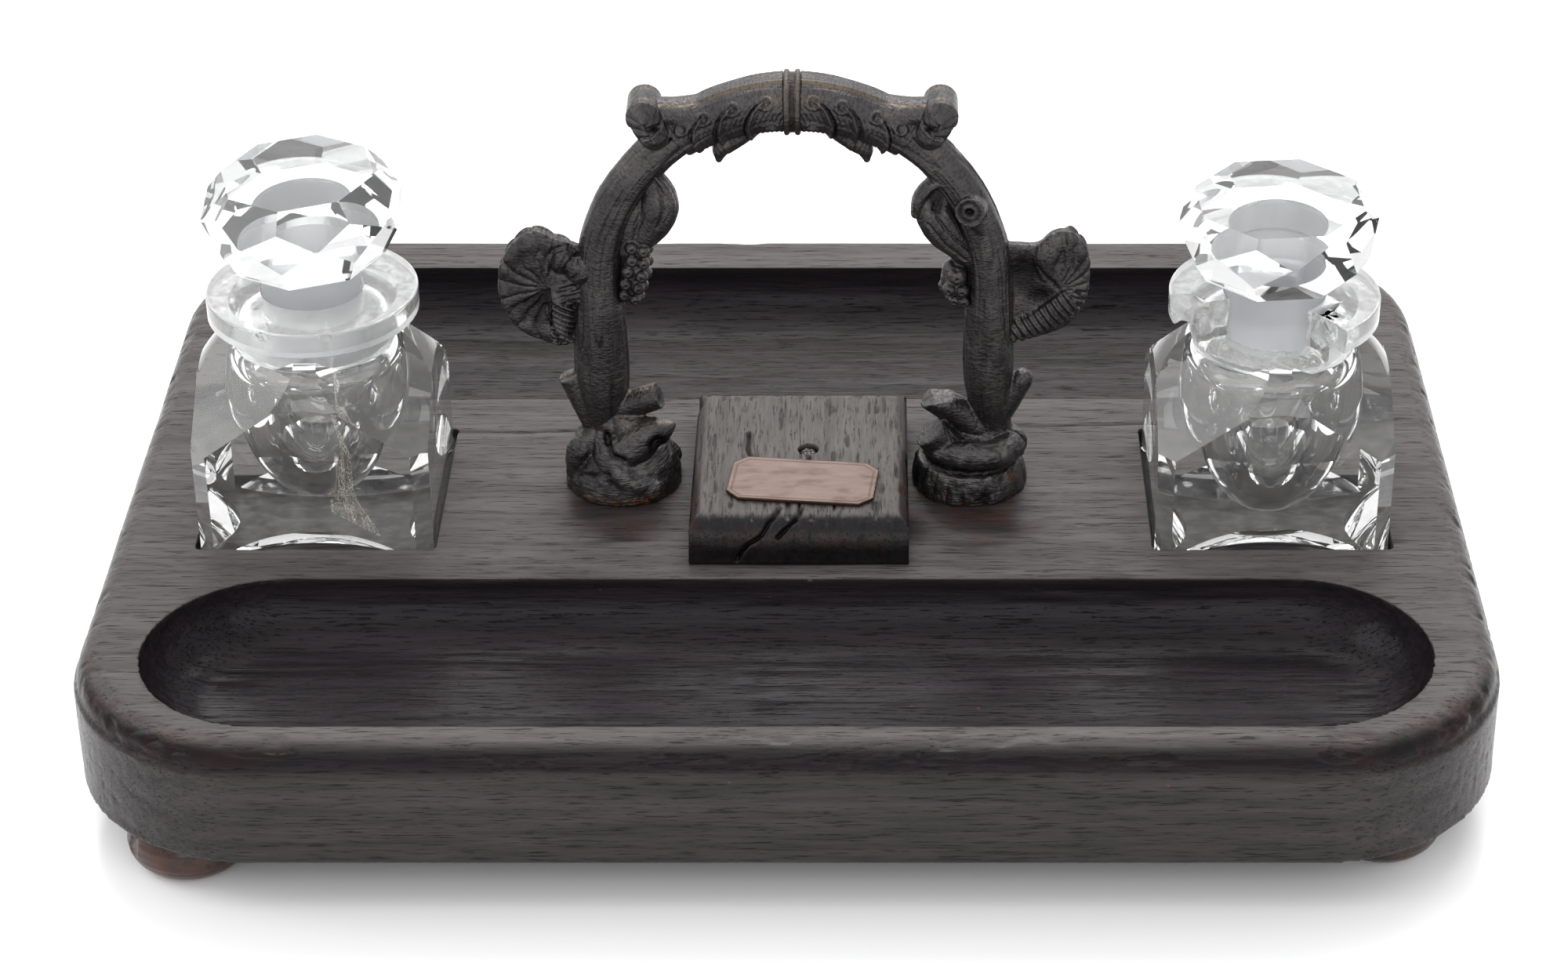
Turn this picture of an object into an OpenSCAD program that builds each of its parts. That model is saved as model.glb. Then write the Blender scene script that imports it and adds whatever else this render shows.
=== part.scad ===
// Desk inkstand: an oak board on four bun feet, with a pen tray in front and
// a trough behind, two cut glass wells with ground stoppers, a stamp box
// under a lift-off lid, and a cast vine handle that bridges the lid.
// Millimetres. The origin is on the table under the middle of the board,
// X runs to the right, Y to the back and Z up.

/* [Board] */
// Width of the board, side to side
board_w = 305; // [252:1:370]
// Depth of the board, front to back
board_d = 230; // [190:1:280]
// Thickness of the board
board_t = 28.8; // [23:0.1:36]
// Radius of the board's corners in plan
corner_r = 42; // [20:1:60]
// Radius of the rounded top edge
edge_r = 6.1; // [2:0.1:8]
// Width of the small step under the rounded edge
edge_step = 0.8; // [0.3:0.1:2]

/* [Pen tray and trough] */
// Rim in front of the pen tray
front_rim = 9; // [6:0.5:16]
// Rim at each end of the tray and the trough
side_rim = 15.5; // [9:0.5:24]
// Rim behind the rear trough
rear_rim = 19.2; // [9:0.1:26]
// Width of the pen tray, front to back
tray_w = 55.9; // [40:0.1:70]
// Depth of the pen tray
tray_depth = 13; // [6:0.5:15]
// Width of the flat between tray and trough
platform_w = 79.5; // [66:0.5:96]
// Depth of the rear trough
trough_depth = 15; // [6:0.5:17]
// Radius between floor and wall of the tray and the trough
floor_r = 13; // [3:0.5:16]

/* [Feet] */
// Height of the bun feet
foot_h = 12; // [8:0.5:18]
// Diameter of the bun feet
foot_d = 27; // [20:0.5:34]
// Middle of a foot in from the board's side
foot_in_x = 25.5; // [20:0.5:40]
// Middle of a front or rear foot in from the board's edge
foot_in_y = 20; // [18:0.5:34]
// How much farther back the right front foot sits
foot_shift = 6; // [0:0.5:10]
// Diameter of the turned tenon on a foot
tenon_d = 9; // [6:0.5:12]
// Length of the tenon inside the board
tenon_l = 9; // [5:0.5:12]

/* [Ink wells] */
// Width of a square well
well_w = 52; // [43:0.5:63]
// Middle of the left well in from the board's side
well_left_in = 47.1; // [42:0.1:60]
// Middle of the right well in from the board's side
well_right_in = 45.5; // [42:0.1:60]
// Middle of the wells behind the platform's middle
well_back = -0.85; // [-3:0.05:2]
// Depth of the recess under the left well
recess_left = 3; // [1.5:0.1:8]
// Depth of the recess under the right well
recess_right = 4; // [1.5:0.1:8]
// Height of a well from its base to the top of its flange
well_h = 54.7; // [48:0.1:66]
// Height at which the corner facets begin
facet_z = 26; // [20:0.5:32]
// Width of the narrow chamfer on each upright edge
chamfer_w = 5; // [2:0.5:8]
// Lean of the corner facets from upright, in degrees
facet_lean = 45; // [38:0.5:52]
// Diameter of the flange
flange_d = 46.6; // [40:0.1:56]
// Thickness of the flange
flange_t = 5.6; // [4:0.1:8]
// Diameter of the neck under the flange
neck_d = 37; // [32:0.5:42]
// Diameter of the ground bore in the neck
bore_d = 22; // [18:0.1:26]
// Length of the ground bore
bore_l = 13.5; // [10:0.5:18]
// Widest diameter of the ink cavity
cavity_d = 35.6; // [29:0.1:38]
// Height from the cavity's widest line up to the bore
cavity_close = 4.9; // [3:0.1:8]
// Radius of the hollow cut along each lower edge
slice_r = 36; // [30:1:60]
// Height of the hollow cuts on the left well
slice_left = 7; // [2:0.1:10]
// Height of the hollow cuts on the right well
slice_right = 8.9; // [2:0.1:10]
// Thickness of glass under the left cavity
floor_left = 7.8; // [4:0.1:14]
// Thickness of glass under the right cavity
floor_right = 4.8; // [4:0.1:14]

/* [Stoppers] */
// Length of plug in the left neck
plug_in_left = 12; // [6:0.5:14]
// Length of plug in the right neck
plug_in_right = 11; // [6:0.5:14]
// Bare plug between flange and head on the left
plug_out_left = 9; // [3:0.5:14]
// Bare plug between flange and head on the right
plug_out_right = 7; // [3:0.5:14]
// Width of a faceted head at its widest line
head_w = 44.2; // [38:0.1:52]
// Width of a head across its upright facets
belt_w = 41.2; // [37:0.1:43]
// Height of the left head above its widest line
crown_left = 7.8; // [4:0.1:10]
// Height of the right head above its widest line
crown_right = 5.6; // [4:0.1:10]
// Depth of the left head below its widest line
under_left = 11.6; // [8:0.1:13]
// Depth of the right head below its widest line
under_right = 10.3; // [8:0.1:13]
// Slope of the facets above the widest line, in degrees
crown_slope = 51; // [42:1:60]
// Slope of the facets below the widest line, in degrees
under_slope = 62; // [56:1:75]
// How far the left head is cut tipped to the front, in degrees
tip_left = 3; // [0:0.5:5]
// How far the right head is cut tipped to the front, in degrees
tip_right = 2; // [0:0.5:5]
// How far the left head is cut leaning to the left, in degrees
lean_left = 2.5; // [0:0.5:5]
// How far the right head is cut leaning to the left, in degrees
lean_right = 1; // [0:0.5:5]
// Turn of the left head on its plug, in degrees
turn_left = 15.5; // [0:0.5:22.5]
// Turn of the right head on its plug, in degrees
turn_right = 3.5; // [0:0.5:22.5]
// Number of facets in each row round a head
head_sides = 8; // [6:1:12]

/* [Stamp box] */
// Width of the lid, side to side
lid_w = 48.6; // [40:0.1:59]
// Length of the lid, front to back
lid_l = 63; // [52:0.5:64]
// Height of the lid above the board
lid_h = 10; // [8:0.5:16]
// Radius of the lid's long top edges
lid_side_r = 3; // [1:0.5:5]
// Radius of the lid's front and back top edges
lid_end_r = 7; // [1:0.5:7.5]
// How much farther right than the handle the lid sits
lid_shift = 1.1; // [0:0.1:1.4]
// Middle of the lid behind the platform's middle
lid_back = -2.65; // [-4:0.05:2]
// Depth of the stamp compartment
stamp_depth = 15; // [8:0.5:16]
// Width of the ledge round the compartment, under the lid
lid_ledge = 5; // [3:0.5:8]
// Depth that the lid's rebate drops into the compartment
rebate_h = 3; // [1.5:0.5:5]
// Diameter of the plug in the old knob hole
plug_d = 4.4; // [3:0.1:8]
// Old knob hole right of the lid's middle
knob_x = 1.7; // [-6:0.1:6]
// Old knob hole behind the lid's middle
knob_y = 2.1; // [2:0.1:12]
// Length of the copper plate
plate_w = 33; // [20:0.5:38]
// Width of the copper plate
plate_l = 18; // [10:0.5:22]
// Thickness of the copper plate
plate_t = 0.8; // [0.5:0.1:1.5]
// Size of the plate's clipped corners
plate_clip = 3; // [1:0.5:5]
// Turn of the plate, in degrees
plate_turn = -6; // [-10:0.5:10]
// Middle of the plate right of the lid's middle
plate_x = 0.7; // [-2:0.1:2]
// Middle of the plate in front of the lid's middle
plate_y = -13; // [-14:0.5:-12.5]

/* [Handle] */
// Middle of the handle right of the board's middle
handle_x = 0.9; // [-5:0.1:5]
// Middle of the handle behind the platform's middle
handle_back = 3.35; // [-2:0.05:8]
// Gap between the lid and each foot of the handle, when centred
lid_gap = 1.9; // [1.5:0.1:6]
// Diameter of the rocky foot of the handle
mound_d = 26.4; // [22:0.1:30]
// Height of the rocky foot
mound_h = 15; // [13:0.5:18]
// How much farther out the trunk stands than the middle of its foot
trunk_out = 4; // [0:0.5:5]
// Height at which the arch springs from the trunks
arch_z = 51; // [44:0.5:62]
// Diameter of the upright trunk
leg_d = 11.2; // [9:0.2:13]
// Diameter of the trunk along the arch
bough_d = 9.6; // [8:0.2:11]
// Diameter of the leafy grip
grip_d = 13.4; // [11.6:0.2:15]
// Angle from the horizontal at which the grip begins
grip_from = 52; // [45:1:60]
// Diameter of the ring in the middle of the grip
collar_d = 14.4; // [13:0.2:17]
// Width of the ring
collar_w = 3.6; // [2.4:0.2:6]
// Height of the side leaves above the board
leaf_z = 49.5; // [44:0.5:52]
// Middle of a side leaf out from the trunk's middle
leaf_in = 8; // [6:0.5:10]
// Largest reach of a side leaf from the trunk's middle
leaf_reach = 22.3; // [18:0.1:24]
// Thickness of a side leaf
leaf_t = 3; // [1.5:0.1:4]
// Diameter of one grape
grape_d = 3.2; // [2.4:0.1:4]

/* [Fixings] */
// Diameter of the stud that holds the handle
stud_d = 4.8; // [4:0.1:6]
// Length of stud inside the handle's foot
stud_in = 10; // [6:0.5:11]
// Free depth beyond the stud's end
stud_room = 0.5; // [0.2:0.1:1]
// Diameter of the counterbore for the nut
counterbore_d = 15; // [14:0.5:20]
// Depth of the counterbore for the nut
counterbore_h = 7; // [6:0.5:10]
// Thickness of a washer
washer_t = 1; // [0.6:0.1:2]
// Thickness of a nut
nut_t = 3.6; // [3:0.1:5]
// Width of a nut across its flats
nut_af = 8; // [7:0.1:9]

/* [Clearances] */
// Gap round a well in its recess
recess_gap = 0.4; // [0.2:0.05:1]
// Gap round the lid's rebate in the compartment
rebate_gap = 0.5; // [0.2:0.05:1]
// Gap round a plug in its ground bore
plug_gap = 0.06; // [0.02:0.01:0.1]
// Gap round pieces that are glued, brazed or screwed in
glue_gap = 0.05; // [0.02:0.01:0.1]
// Gap round a stud in its hole through the board
stud_gap = 0.3; // [0.1:0.05:0.5]

/* [Hidden] */
$fn = 64;

// Side length of the blocks that cut a facet or a half away
big = 400;
// How far a cut runs past the face it opens
past = 1;
// Height of the board's top
top_z = foot_h + board_t;
// Tray, platform and trough from front to back
tray_y0 = -board_d/2 + front_rim;
tray_y1 = tray_y0 + tray_w;
trough_y0 = tray_y1 + platform_w;
trough_y1 = board_d/2 - rear_rim;
tray_half = board_w/2 - side_rim;
// Middles of what stands on the platform
platform_y = tray_y1 + platform_w/2;
well_x = [-board_w/2 + well_left_in, board_w/2 - well_right_in];
well_y = platform_y + well_back;
lid_y = platform_y + lid_back;
handle_y = platform_y + handle_back;
// Handle: middle of its feet, and the arch's centre line
mound_x = lid_w/2 + lid_gap + mound_d/2;
arch_r = mound_x + trunk_out;
// Depth of the socket that takes the bough, as an angle
socket = 4;
// Angle at which a grip's sweep ends, inside the ring
grip_to = 89;
// Radius of the necks that the ring slides over
neck_r = grip_d/2 - 1.4;
// Pruned twigs: height, lean and turn in degrees, length and diameter
twigs_left = [[21, 52, 0, 5, 3], [23, 75, 180, 7, 4.4], [13, 80, 180, 9, 4]];
twigs_right = [[22, 55, 0, 5, 3.4], [22, 80, 180, 6, 4.6], [11, 84, 180, 7, 4]];
// Bearings of the roots on each foot
roots_left = [35, 100, 160, 215, 262, 320];
roots_right = [20, 75, 140, 200, 250, 300];
// A side leaf stops short of the flange beside it
leaf_gap = 3;
leaf_room = [for (s = [0, 1])
    abs(well_x[s] - handle_x) - flange_d/2 - arch_r - leaf_gap];
leaf_r = [for (room = leaf_room) min(leaf_reach, room) - leaf_in];
// Grapes hang in rows round the inside of the trunk
grape_rows = [4, 4, 3, 3, 2, 1];
grape_step = 0.82*grape_d;
// Folded leaf over the grapes: length, and its middle in from the trunk's
// middle and up from the arch's springing
fold_left = [19, 13.4, 17];
fold_right = [19, 12.1, 15];
// Pieces broken from the flanges: bearing, out from the rim, up from the
// flange's top, and radius of the hollow left behind
chips_left = [[250, 1.9, -0.2, 2.6], [285, 1.7, 0.1, 2.4]];
chips_right = [[205, 1.7, 0.3, 9], [316, -7.8, -3.7, 4]];
// Sector broken out of the right flange and neck: first and last bearing, and
// depth below the flange's top
break_right = [200, 306, 9.6];
// Height of the neck between a well's shoulder and its flange
neck_h = 4;
// Colours
dark_oak = [0.16, 0.13, 0.13];
grey_oak = [0.30, 0.27, 0.25];
foot_wood = [0.30, 0.15, 0.10];
bronze = [0.19, 0.18, 0.15];
copper = [0.72, 0.52, 0.44];
steel = [0.50, 0.50, 0.52];
crystal = [0.86, 0.90, 0.93, 0.45];

// A rounded rectangle with true arcs at its corners
module plan(w, d, r) {
    square([w - 2*r, d], center = true);
    square([w, d - 2*r], center = true);
    for (x = [-1, 1], y = [-1, 1])
        translate([x*(w/2 - r), y*(d/2 - r)]) circle(r);
}

// A flat-topped section whose two upper corners are rounded to radius r
module round_top(w, h, r) {
    translate([-w/2, 0]) square([w, h - r]);
    translate([-w/2 + r, 0]) square([w - 2*r, h]);
    for (x = [-1, 1])
        intersection() {
            translate([x*(w/2 - r), h - r]) circle(r);
            translate([-w/2, 0]) square([w, h]);
        }
}

// A block whose top edge is rounded to radius e all the way round
module soft_block(w, d, h, r, e) {
    rotate([90, 0, 90]) linear_extrude(w - 2*r, center = true) round_top(d, h, e);
    rotate([90, 0, 0]) linear_extrude(d - 2*r, center = true) round_top(w, h, e);
    for (turn = [0:90:270]) {
        run_x = turn % 180 == 0 ? w/2 - r : d/2 - r;
        run_y = turn % 180 == 0 ? d/2 - r : w/2 - r;
        rotate([0, 0, turn]) translate([run_x, run_y, 0])
            rotate_extrude(angle = 90) intersection() {
                round_top(2*r, h, e);
                square([r, h]);
            }
    }
}

// Half the section of a dished hollow: flat floor, round foot, upright wall
module dish_half(half, depth, r) {
    translate([0, -depth]) square([half - r, depth + past]);
    translate([0, r - depth]) square([half, depth - r + past]);
    translate([half - r, r - depth]) circle(r);
}

// A long hollow with round ends between two lines across the board
module dish(y0, y1, depth) {
    half = (y1 - y0)/2;
    run = tray_half - half;
    r = min(floor_r, depth - 0.5, half - 0.5);
    translate([0, (y0 + y1)/2, top_z]) {
        for (x = [-1, 1])
            translate([x*run, 0, 0]) rotate_extrude()
                intersection() {
                    dish_half(half, depth, r);
                    translate([0, -depth]) square([half, depth + past]);
                }
        rotate([90, 0, 90]) linear_extrude(2*run, center = true)
            for (m = [0, 1]) mirror([m, 0]) dish_half(half, depth, r);
    }
}

function foot_x(side) = side*(board_w/2 - foot_in_x);
function foot_y(side, end) = end < 0
    ? -board_d/2 + foot_in_y + (side > 0 ? foot_shift : 0)
    : board_d/2 - foot_in_y;

// Places a piece at one of the feet
module at_foot(side, end) {
    translate([foot_x(side), foot_y(side, end), 0]) children();
}

// Places a piece at one foot of the handle, on top of the board
module at_mound(side) {
    translate([handle_x + side*mound_x, handle_y, top_z]) children();
}

// Places a piece in the lid's frame, on top of the board
module at_lid() {
    translate([handle_x + lid_shift, lid_y, top_z]) children();
}

module base_board() {
    color(dark_oak) difference() {
        translate([0, 0, foot_h]) {
            linear_extrude(board_t - edge_r - edge_step)
                plan(board_w, board_d, corner_r);
            soft_block(board_w - 2*edge_step, board_d - 2*edge_step,
                board_t, corner_r - edge_step, edge_r);
        }
        dish(tray_y0, tray_y1, tray_depth);
        dish(trough_y0, trough_y1, trough_depth);
        well_recess(0, recess_left);
        well_recess(1, recess_right);
        at_lid() stamp_compartment();
        for (side = [-1, 1]) at_mound(side) stud_hole();
        for (side = [-1, 1], end = [-1, 1]) at_foot(side, end)
            translate([0, 0, foot_h - past])
                cylinder(h = tenon_l + glue_gap + past, d = tenon_d + 2*glue_gap);
    }
}

// The square hollow that keeps a well in its place
module well_recess(i, depth) {
    size = well_w + 2*recess_gap;
    translate([well_x[i] - size/2, well_y - size/2, top_z - depth])
        cube([size, size, depth + past]);
}

// The hollow under the lid
module stamp_compartment() {
    w = lid_w - 2*lid_ledge;
    l = lid_l - 2*lid_ledge;
    translate([-w/2, -l/2, -stamp_depth]) cube([w, l, stamp_depth + past]);
}

// Hole through the board for a stud, counterbored from below for its nut
module stud_hole() {
    translate([0, 0, -board_t - past])
        cylinder(h = board_t + 2*past, d = stud_d + 2*stud_gap);
    translate([0, 0, -board_t - past])
        cylinder(h = counterbore_h + past, d = counterbore_d);
}

// A turned bun with a tenon that is glued into the board
module bun_foot() {
    color(foot_wood) {
        rotate_extrude() {
            square([foot_d/2 - foot_h/2, foot_h]);
            intersection() {
                translate([foot_d/2 - foot_h/2, foot_h/2]) circle(foot_h/2);
                square([foot_d/2, foot_h]);
            }
        }
        cylinder(h = foot_h + tenon_l, d = tenon_d);
    }
}

// The right half's frame, mirrored for the left, at the arch's centre
module handle_half(side) {
    translate([handle_x, handle_y, top_z])
        mirror([side < 0 ? 1 : 0, 0, 0]) children();
}

// A round bar that follows the arch between two angles
module arch_bar(d, from, to) {
    translate([0, 0, arch_z]) rotate([90, 0, 0]) rotate([0, 0, from])
        rotate_extrude(angle = to - from) translate([arch_r, 0]) circle(d = d);
}

// Frame on the arch: X points outwards and Z along the arch
module at_arch(angle) {
    translate([arch_r*cos(angle), 0, arch_z + arch_r*sin(angle)])
        rotate([0, -angle, 0]) children();
}

// Upright trunk and bough as they stand, without their knots
module trunk_core(extra = 0) {
    translate([arch_r, 0, 0]) cylinder(h = arch_z, d = leg_d + 2*extra);
    translate([arch_r, 0, arch_z]) sphere(d = leg_d + 2*extra);
    arch_bar(bough_d + 2*extra, 0, grip_from + socket);
}

// A pruned twig: starts in the trunk, leans by an angle from upright
module stub(z, lean, turn, length, d) {
    translate([arch_r, 0, z]) rotate([0, 0, turn]) rotate([0, lean, 0])
        cylinder(h = leg_d/2 + length, d1 = 1.5*d, d2 = d);
}

// Rocky foot: a low dome with a round skirt
module mound() {
    skirt = 2.4;
    dome_d = 14;
    slope_h = 5;
    slope_d = 0.62*mound_d;
    rotate_extrude() {
        square([mound_d/2 - skirt, 2*skirt]);
        translate([mound_d/2 - skirt, skirt]) circle(skirt);
        translate([mound_d/2 - skirt, 0]) square([skirt, skirt]);
    }
    translate([0, 0, 2*skirt - past])
        cylinder(h = slope_h, d1 = mound_d - 2.4*skirt, d2 = slope_d);
    translate([0, 0, mound_h - dome_d/2]) sphere(d = dome_d);
}

// Roots that run from the trunk over its foot
module roots(bearings) {
    root_d = 6.4;
    root_l = 9;
    tip_d = 4;
    slope = 38;
    for (a = bearings)
        translate([mound_x, 0, 0]) rotate([0, 0, a])
            translate([mound_d/2 - root_d, 0, 0.4*root_d]) rotate([0, -slope, 0]) {
                sphere(d = root_d);
                cylinder(h = root_l, d1 = root_d, d2 = tip_d);
            }
}

module vine_trunk(side) {
    twigs = side < 0 ? twigs_left : twigs_right;
    color(bronze) handle_half(side) difference() {
        union() {
            translate([mound_x, 0, 0]) mound();
            roots(side < 0 ? roots_left : roots_right);
            trunk_core();
            for (t = twigs) stub(t[0], t[1], t[2], t[3], t[4]);
        }
        translate([mound_x, 0, -past])
            cylinder(h = stud_in + stud_room + past, d = stud_d + 2*glue_gap);
        translate([0, 0, -big/2]) cube([big, big, big], center = true);
    }
}

// Leafy half of the grip: sleeve, curled tip, rib and hanging leaf tip, with
// a narrow neck at its inner end that the ring slides over
module grip(side) {
    color(bronze) handle_half(side) difference() {
        union() {
            difference() {
                union() {
                    arch_bar(grip_d, grip_from, grip_to);
                    grip_rib();
                    curled_tip();
                    hanging_tip();
                }
                translate([collar_w/2 - big, -big/2, 0]) cube(big);
            }
            translate([0, 0, arch_z + arch_r]) rotate([0, 90, 0])
                cylinder(h = collar_w/2 + 1, r = neck_r);
        }
        arch_bar(bough_d + 2*glue_gap, grip_from - 6, grip_from + socket);
    }
}

// Raised rib along the back of the grip
module grip_rib() {
    rib_d = 2.4;
    first = grip_from + 2;
    translate([0, 0, arch_z]) rotate([90, 0, 0]) rotate([0, 0, first])
        rotate_extrude(angle = grip_to - first)
            translate([arch_r + grip_d/2 - rib_d*0.4, 0]) circle(d = rib_d);
}

// The outer end of the grip's leaf, which curls up and back
module curled_tip() {
    stem_r = 2;
    tip_r = 2.6;
    tip_w = 8;
    hull() {
        at_arch(grip_from + 5) translate([grip_d/2 - stem_r, 0, 0]) rotate([90, 0, 0])
            cylinder(h = tip_w + 1, r = stem_r, center = true, $fn = 32);
        at_arch(grip_from + 1) translate([grip_d/2 + 0.85*tip_r, 0, 0]) rotate([90, 0, 0])
            cylinder(h = tip_w, r = tip_r, center = true, $fn = 32);
    }
}

// The leaf tip that hangs under the grip
module hanging_tip() {
    tip_l = 6.5;
    base_d = 7;
    point_d = 1.2;
    at_arch(grip_from + 8) translate([2 - grip_d/2, 0, 0]) rotate([0, -100, 0])
        cylinder(h = tip_l, d1 = base_d, d2 = point_d);
}

// Ring that covers the joint of the two grips
module grip_collar() {
    bead = 1.1;
    color(bronze) translate([handle_x, handle_y, top_z + arch_z + arch_r])
        rotate([0, 90, 0]) difference() {
            union() {
                cylinder(h = collar_w, d = collar_d - bead, center = true);
                for (z = [-1, 1])
                    translate([0, 0, z*(collar_w/2 - bead/2)]) rotate_extrude()
                        translate([collar_d/2 - bead/2, 0]) circle(d = bead);
            }
            cylinder(h = collar_w + 2*past, r = neck_r + glue_gap, center = true);
        }
}

// Outline of a five-lobed vine leaf of radius r, with its bay at -X
module leaf_outline(r) {
    polygon([for (a = [-177:6:177]) r*(0.88 + 0.12*cos(5*a))*[cos(a), sin(a)]]);
}

// One tapered vein for each lobe
module leaf_veins(r) {
    for (a = [-144:72:144]) rotate(a)
        polygon([[-0.5, -1.1], [0.85*r, -0.4], [0.85*r, 0.4], [-0.5, 1.1]]);
}

// A side leaf, brazed to the trunk, with raised veins on its front
module vine_leaf(side) {
    r = leaf_r[side < 0 ? 0 : 1];
    vein_h = 0.6;
    color(bronze) handle_half(side) difference() {
        translate([arch_r + leaf_in, 0, leaf_z]) rotate([90, 0, 0]) {
            linear_extrude(leaf_t, center = true) leaf_outline(r);
            linear_extrude(leaf_t/2 + vein_h) leaf_veins(r);
        }
        translate([arch_r, 0, 0])
            cylinder(h = 2*leaf_z, d = leg_d + 2*glue_gap);
        translate([arch_r - big, -big/2, 0]) cube(big);
    }
}

// A lens of revolution standing on its tip
module spindle(length, d) {
    big_r = (length*length/4 + d*d/4)/d;
    rotate_extrude() intersection() {
        translate([d/2 - big_r, 0]) circle(big_r);
        translate([0, -length/2]) square([d/2, length]);
    }
}

// A small bunch of grapes inside the trunk, under a folded leaf.
// rise: height of the first row above the arch's springing
module grape_sprig(side, rise) {
    fold = side < 0 ? fold_left : fold_right;
    fold_w = 10;
    fan = 62;
    core_d = [4.6, 6];
    top = arch_z + rise;
    bunch_x = arch_r - leg_d/2 - 2;
    core_h = (len(grape_rows) - 1)*grape_step;
    color(bronze) handle_half(side) difference() {
        union() {
            for (row = [0:len(grape_rows) - 1], n = [0:grape_rows[row] - 1]) {
                spread = fan*(n - (grape_rows[row] - 1)/2);
                translate([bunch_x, 0, top - row*grape_step])
                    rotate([0, 0, 180 + spread])
                        translate([grape_d*0.8, 0, 0]) sphere(d = grape_d);
            }
            translate([bunch_x, 0, top - core_h])
                cylinder(h = core_h, d1 = core_d[0], d2 = core_d[1]);
            translate([arch_r - fold[1], 0, arch_z + fold[2]])
                spindle(fold[0], fold_w);
        }
        trunk_core();
    }
}

// Threaded rod from the handle's foot down to its nut
module handle_stud(side) {
    stud_end = 1;
    below = board_t - counterbore_h + washer_t + nut_t + stud_end;
    color(steel) at_mound(side) translate([0, 0, -below])
        cylinder(h = below + stud_in, d = stud_d);
}

module handle_washer(side) {
    color(steel) at_mound(side) translate([0, 0, counterbore_h - board_t - washer_t])
        difference() {
            cylinder(h = washer_t, d = counterbore_d - 1.5);
            translate([0, 0, -past])
                cylinder(h = washer_t + 2*past, d = stud_d + 2*stud_gap);
        }
}

module handle_nut(side) {
    color(steel) at_mound(side)
        translate([0, 0, counterbore_h - board_t - washer_t - nut_t])
            difference() {
                cylinder(h = nut_t, d = nut_af/cos(30), $fn = 6);
                translate([0, 0, -past])
                    cylinder(h = nut_t + 2*past, d = stud_d + 2*glue_gap);
            }
}

module stamp_lid() {
    rebate_w = lid_w - 2*lid_ledge - 2*rebate_gap;
    rebate_l = lid_l - 2*lid_ledge - 2*rebate_gap;
    color(grey_oak) at_lid() difference() {
        union() {
            intersection() {
                rotate([90, 0, 0]) linear_extrude(lid_l, center = true)
                    round_top(lid_w, lid_h, lid_side_r);
                rotate([90, 0, 90]) linear_extrude(lid_w, center = true)
                    round_top(lid_l, lid_h, lid_end_r);
            }
            translate([-rebate_w/2, -rebate_l/2, -rebate_h])
                cube([rebate_w, rebate_l, rebate_h + 1]);
        }
        knob_hole(glue_gap);
    }
}

// Place of the old knob, behind the plate; gap widens it for the hole
module knob_hole(gap) {
    translate([knob_x, knob_y, -rebate_h - (gap > 0 ? past : 0)])
        cylinder(h = rebate_h + lid_h + (gap > 0 ? 2*past : 0), d = plug_d + 2*gap);
}

module lid_knob_plug() {
    color(grey_oak) at_lid() knob_hole(0);
}

// Thin plate with clipped corners, left bare
module lid_plate() {
    diamond = (plate_w + plate_l - 2*plate_clip)/sqrt(2);
    color(copper) at_lid() translate([plate_x, plate_y, lid_h])
        rotate([0, 0, plate_turn]) linear_extrude(plate_t) intersection() {
            square([plate_w, plate_l], center = true);
            rotate(45) square(diamond, center = true);
        }
}

// Cuts away all beyond a plane that faces a bearing and a height angle
module plane_cut(bearing, up, distance) {
    rotate([0, 0, bearing]) rotate([0, -up, 0])
        translate([distance, -big/2, -big/2]) cube(big);
}

// The square body: chamfered edges, corner facets, a turned shoulder and a
// hollow cut along each lower edge. slice: height of the hollow cuts
module well_body(slice) {
    shoulder_z = well_h - flange_t - neck_h;
    half = well_w/2;
    diagonal = half*sqrt(2) - chamfer_w/2;
    facet_d = diagonal*cos(facet_lean) + facet_z*sin(facet_lean);
    difference() {
        translate([-half, -half, 0]) cube([well_w, well_w, shoulder_z + neck_h]);
        for (a = [45:90:315]) {
            plane_cut(a, 0, diagonal);
            plane_cut(a, facet_lean, facet_d);
        }
        shoulder_waste(shoulder_z, half);
        for (a = [0:90:270]) rotate([0, 0, a]) hollow_cut(half, slice);
    }
}

// The hollow that a wheel leaves along a lower edge, an arc on the face
module hollow_cut(half, slice) {
    out = 30;
    translate([half + out, 0, slice - slice_r]) sphere(sqrt(slice_r*slice_r + out*out));
}

// All that the wheel takes off above the shoulder's round back
module shoulder_waste(z, half) {
    drop = 8;
    rise = 6.6;
    back_r = 1.2*half;
    rotate_extrude() difference() {
        translate([0, z - drop]) square([2*half, well_h - z + drop]);
        translate([0, z - back_r + rise]) circle(back_r);
        square([neck_d/2, well_h]);
    }
}

// The hollow for the ink, as blown: narrow bore, wide bulb, rounded floor
module well_cavity(floor_t) {
    wide_r = cavity_d/2;
    bore_z = well_h - bore_l;
    wide_z = bore_z - cavity_close;
    fullness = 2.1;
    rotate_extrude() polygon(concat(
        [for (t = [0:6:90]) [wide_r*pow(sin(t), 2/fullness),
            wide_z - (wide_z - floor_t)*pow(cos(t), 2/fullness)]],
        [for (t = [15:15:90]) [bore_d/2 + (wide_r - bore_d/2)*cos(t),
            wide_z + cavity_close*sin(t)]],
        [[bore_d/2, well_h + past], [0, well_h + past]]));
}

// A sector that has broken out of flange and neck, down to a rough floor
module broken_sector(from, to, depth) {
    rotate([0, 0, from]) rotate_extrude(angle = to - from)
        translate([0, well_h - depth]) square([well_w, depth + past]);
}

// A ring flange with slightly eased edges
module flange() {
    ease = 0.6;
    translate([0, 0, well_h - flange_t]) {
        cylinder(h = flange_t, d = flange_d - 2*ease);
        translate([0, 0, ease]) cylinder(h = flange_t - 2*ease, d = flange_d);
        for (z = [ease, flange_t - ease]) translate([0, 0, z])
            rotate_extrude() translate([flange_d/2 - ease, 0]) circle(ease);
    }
}

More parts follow.
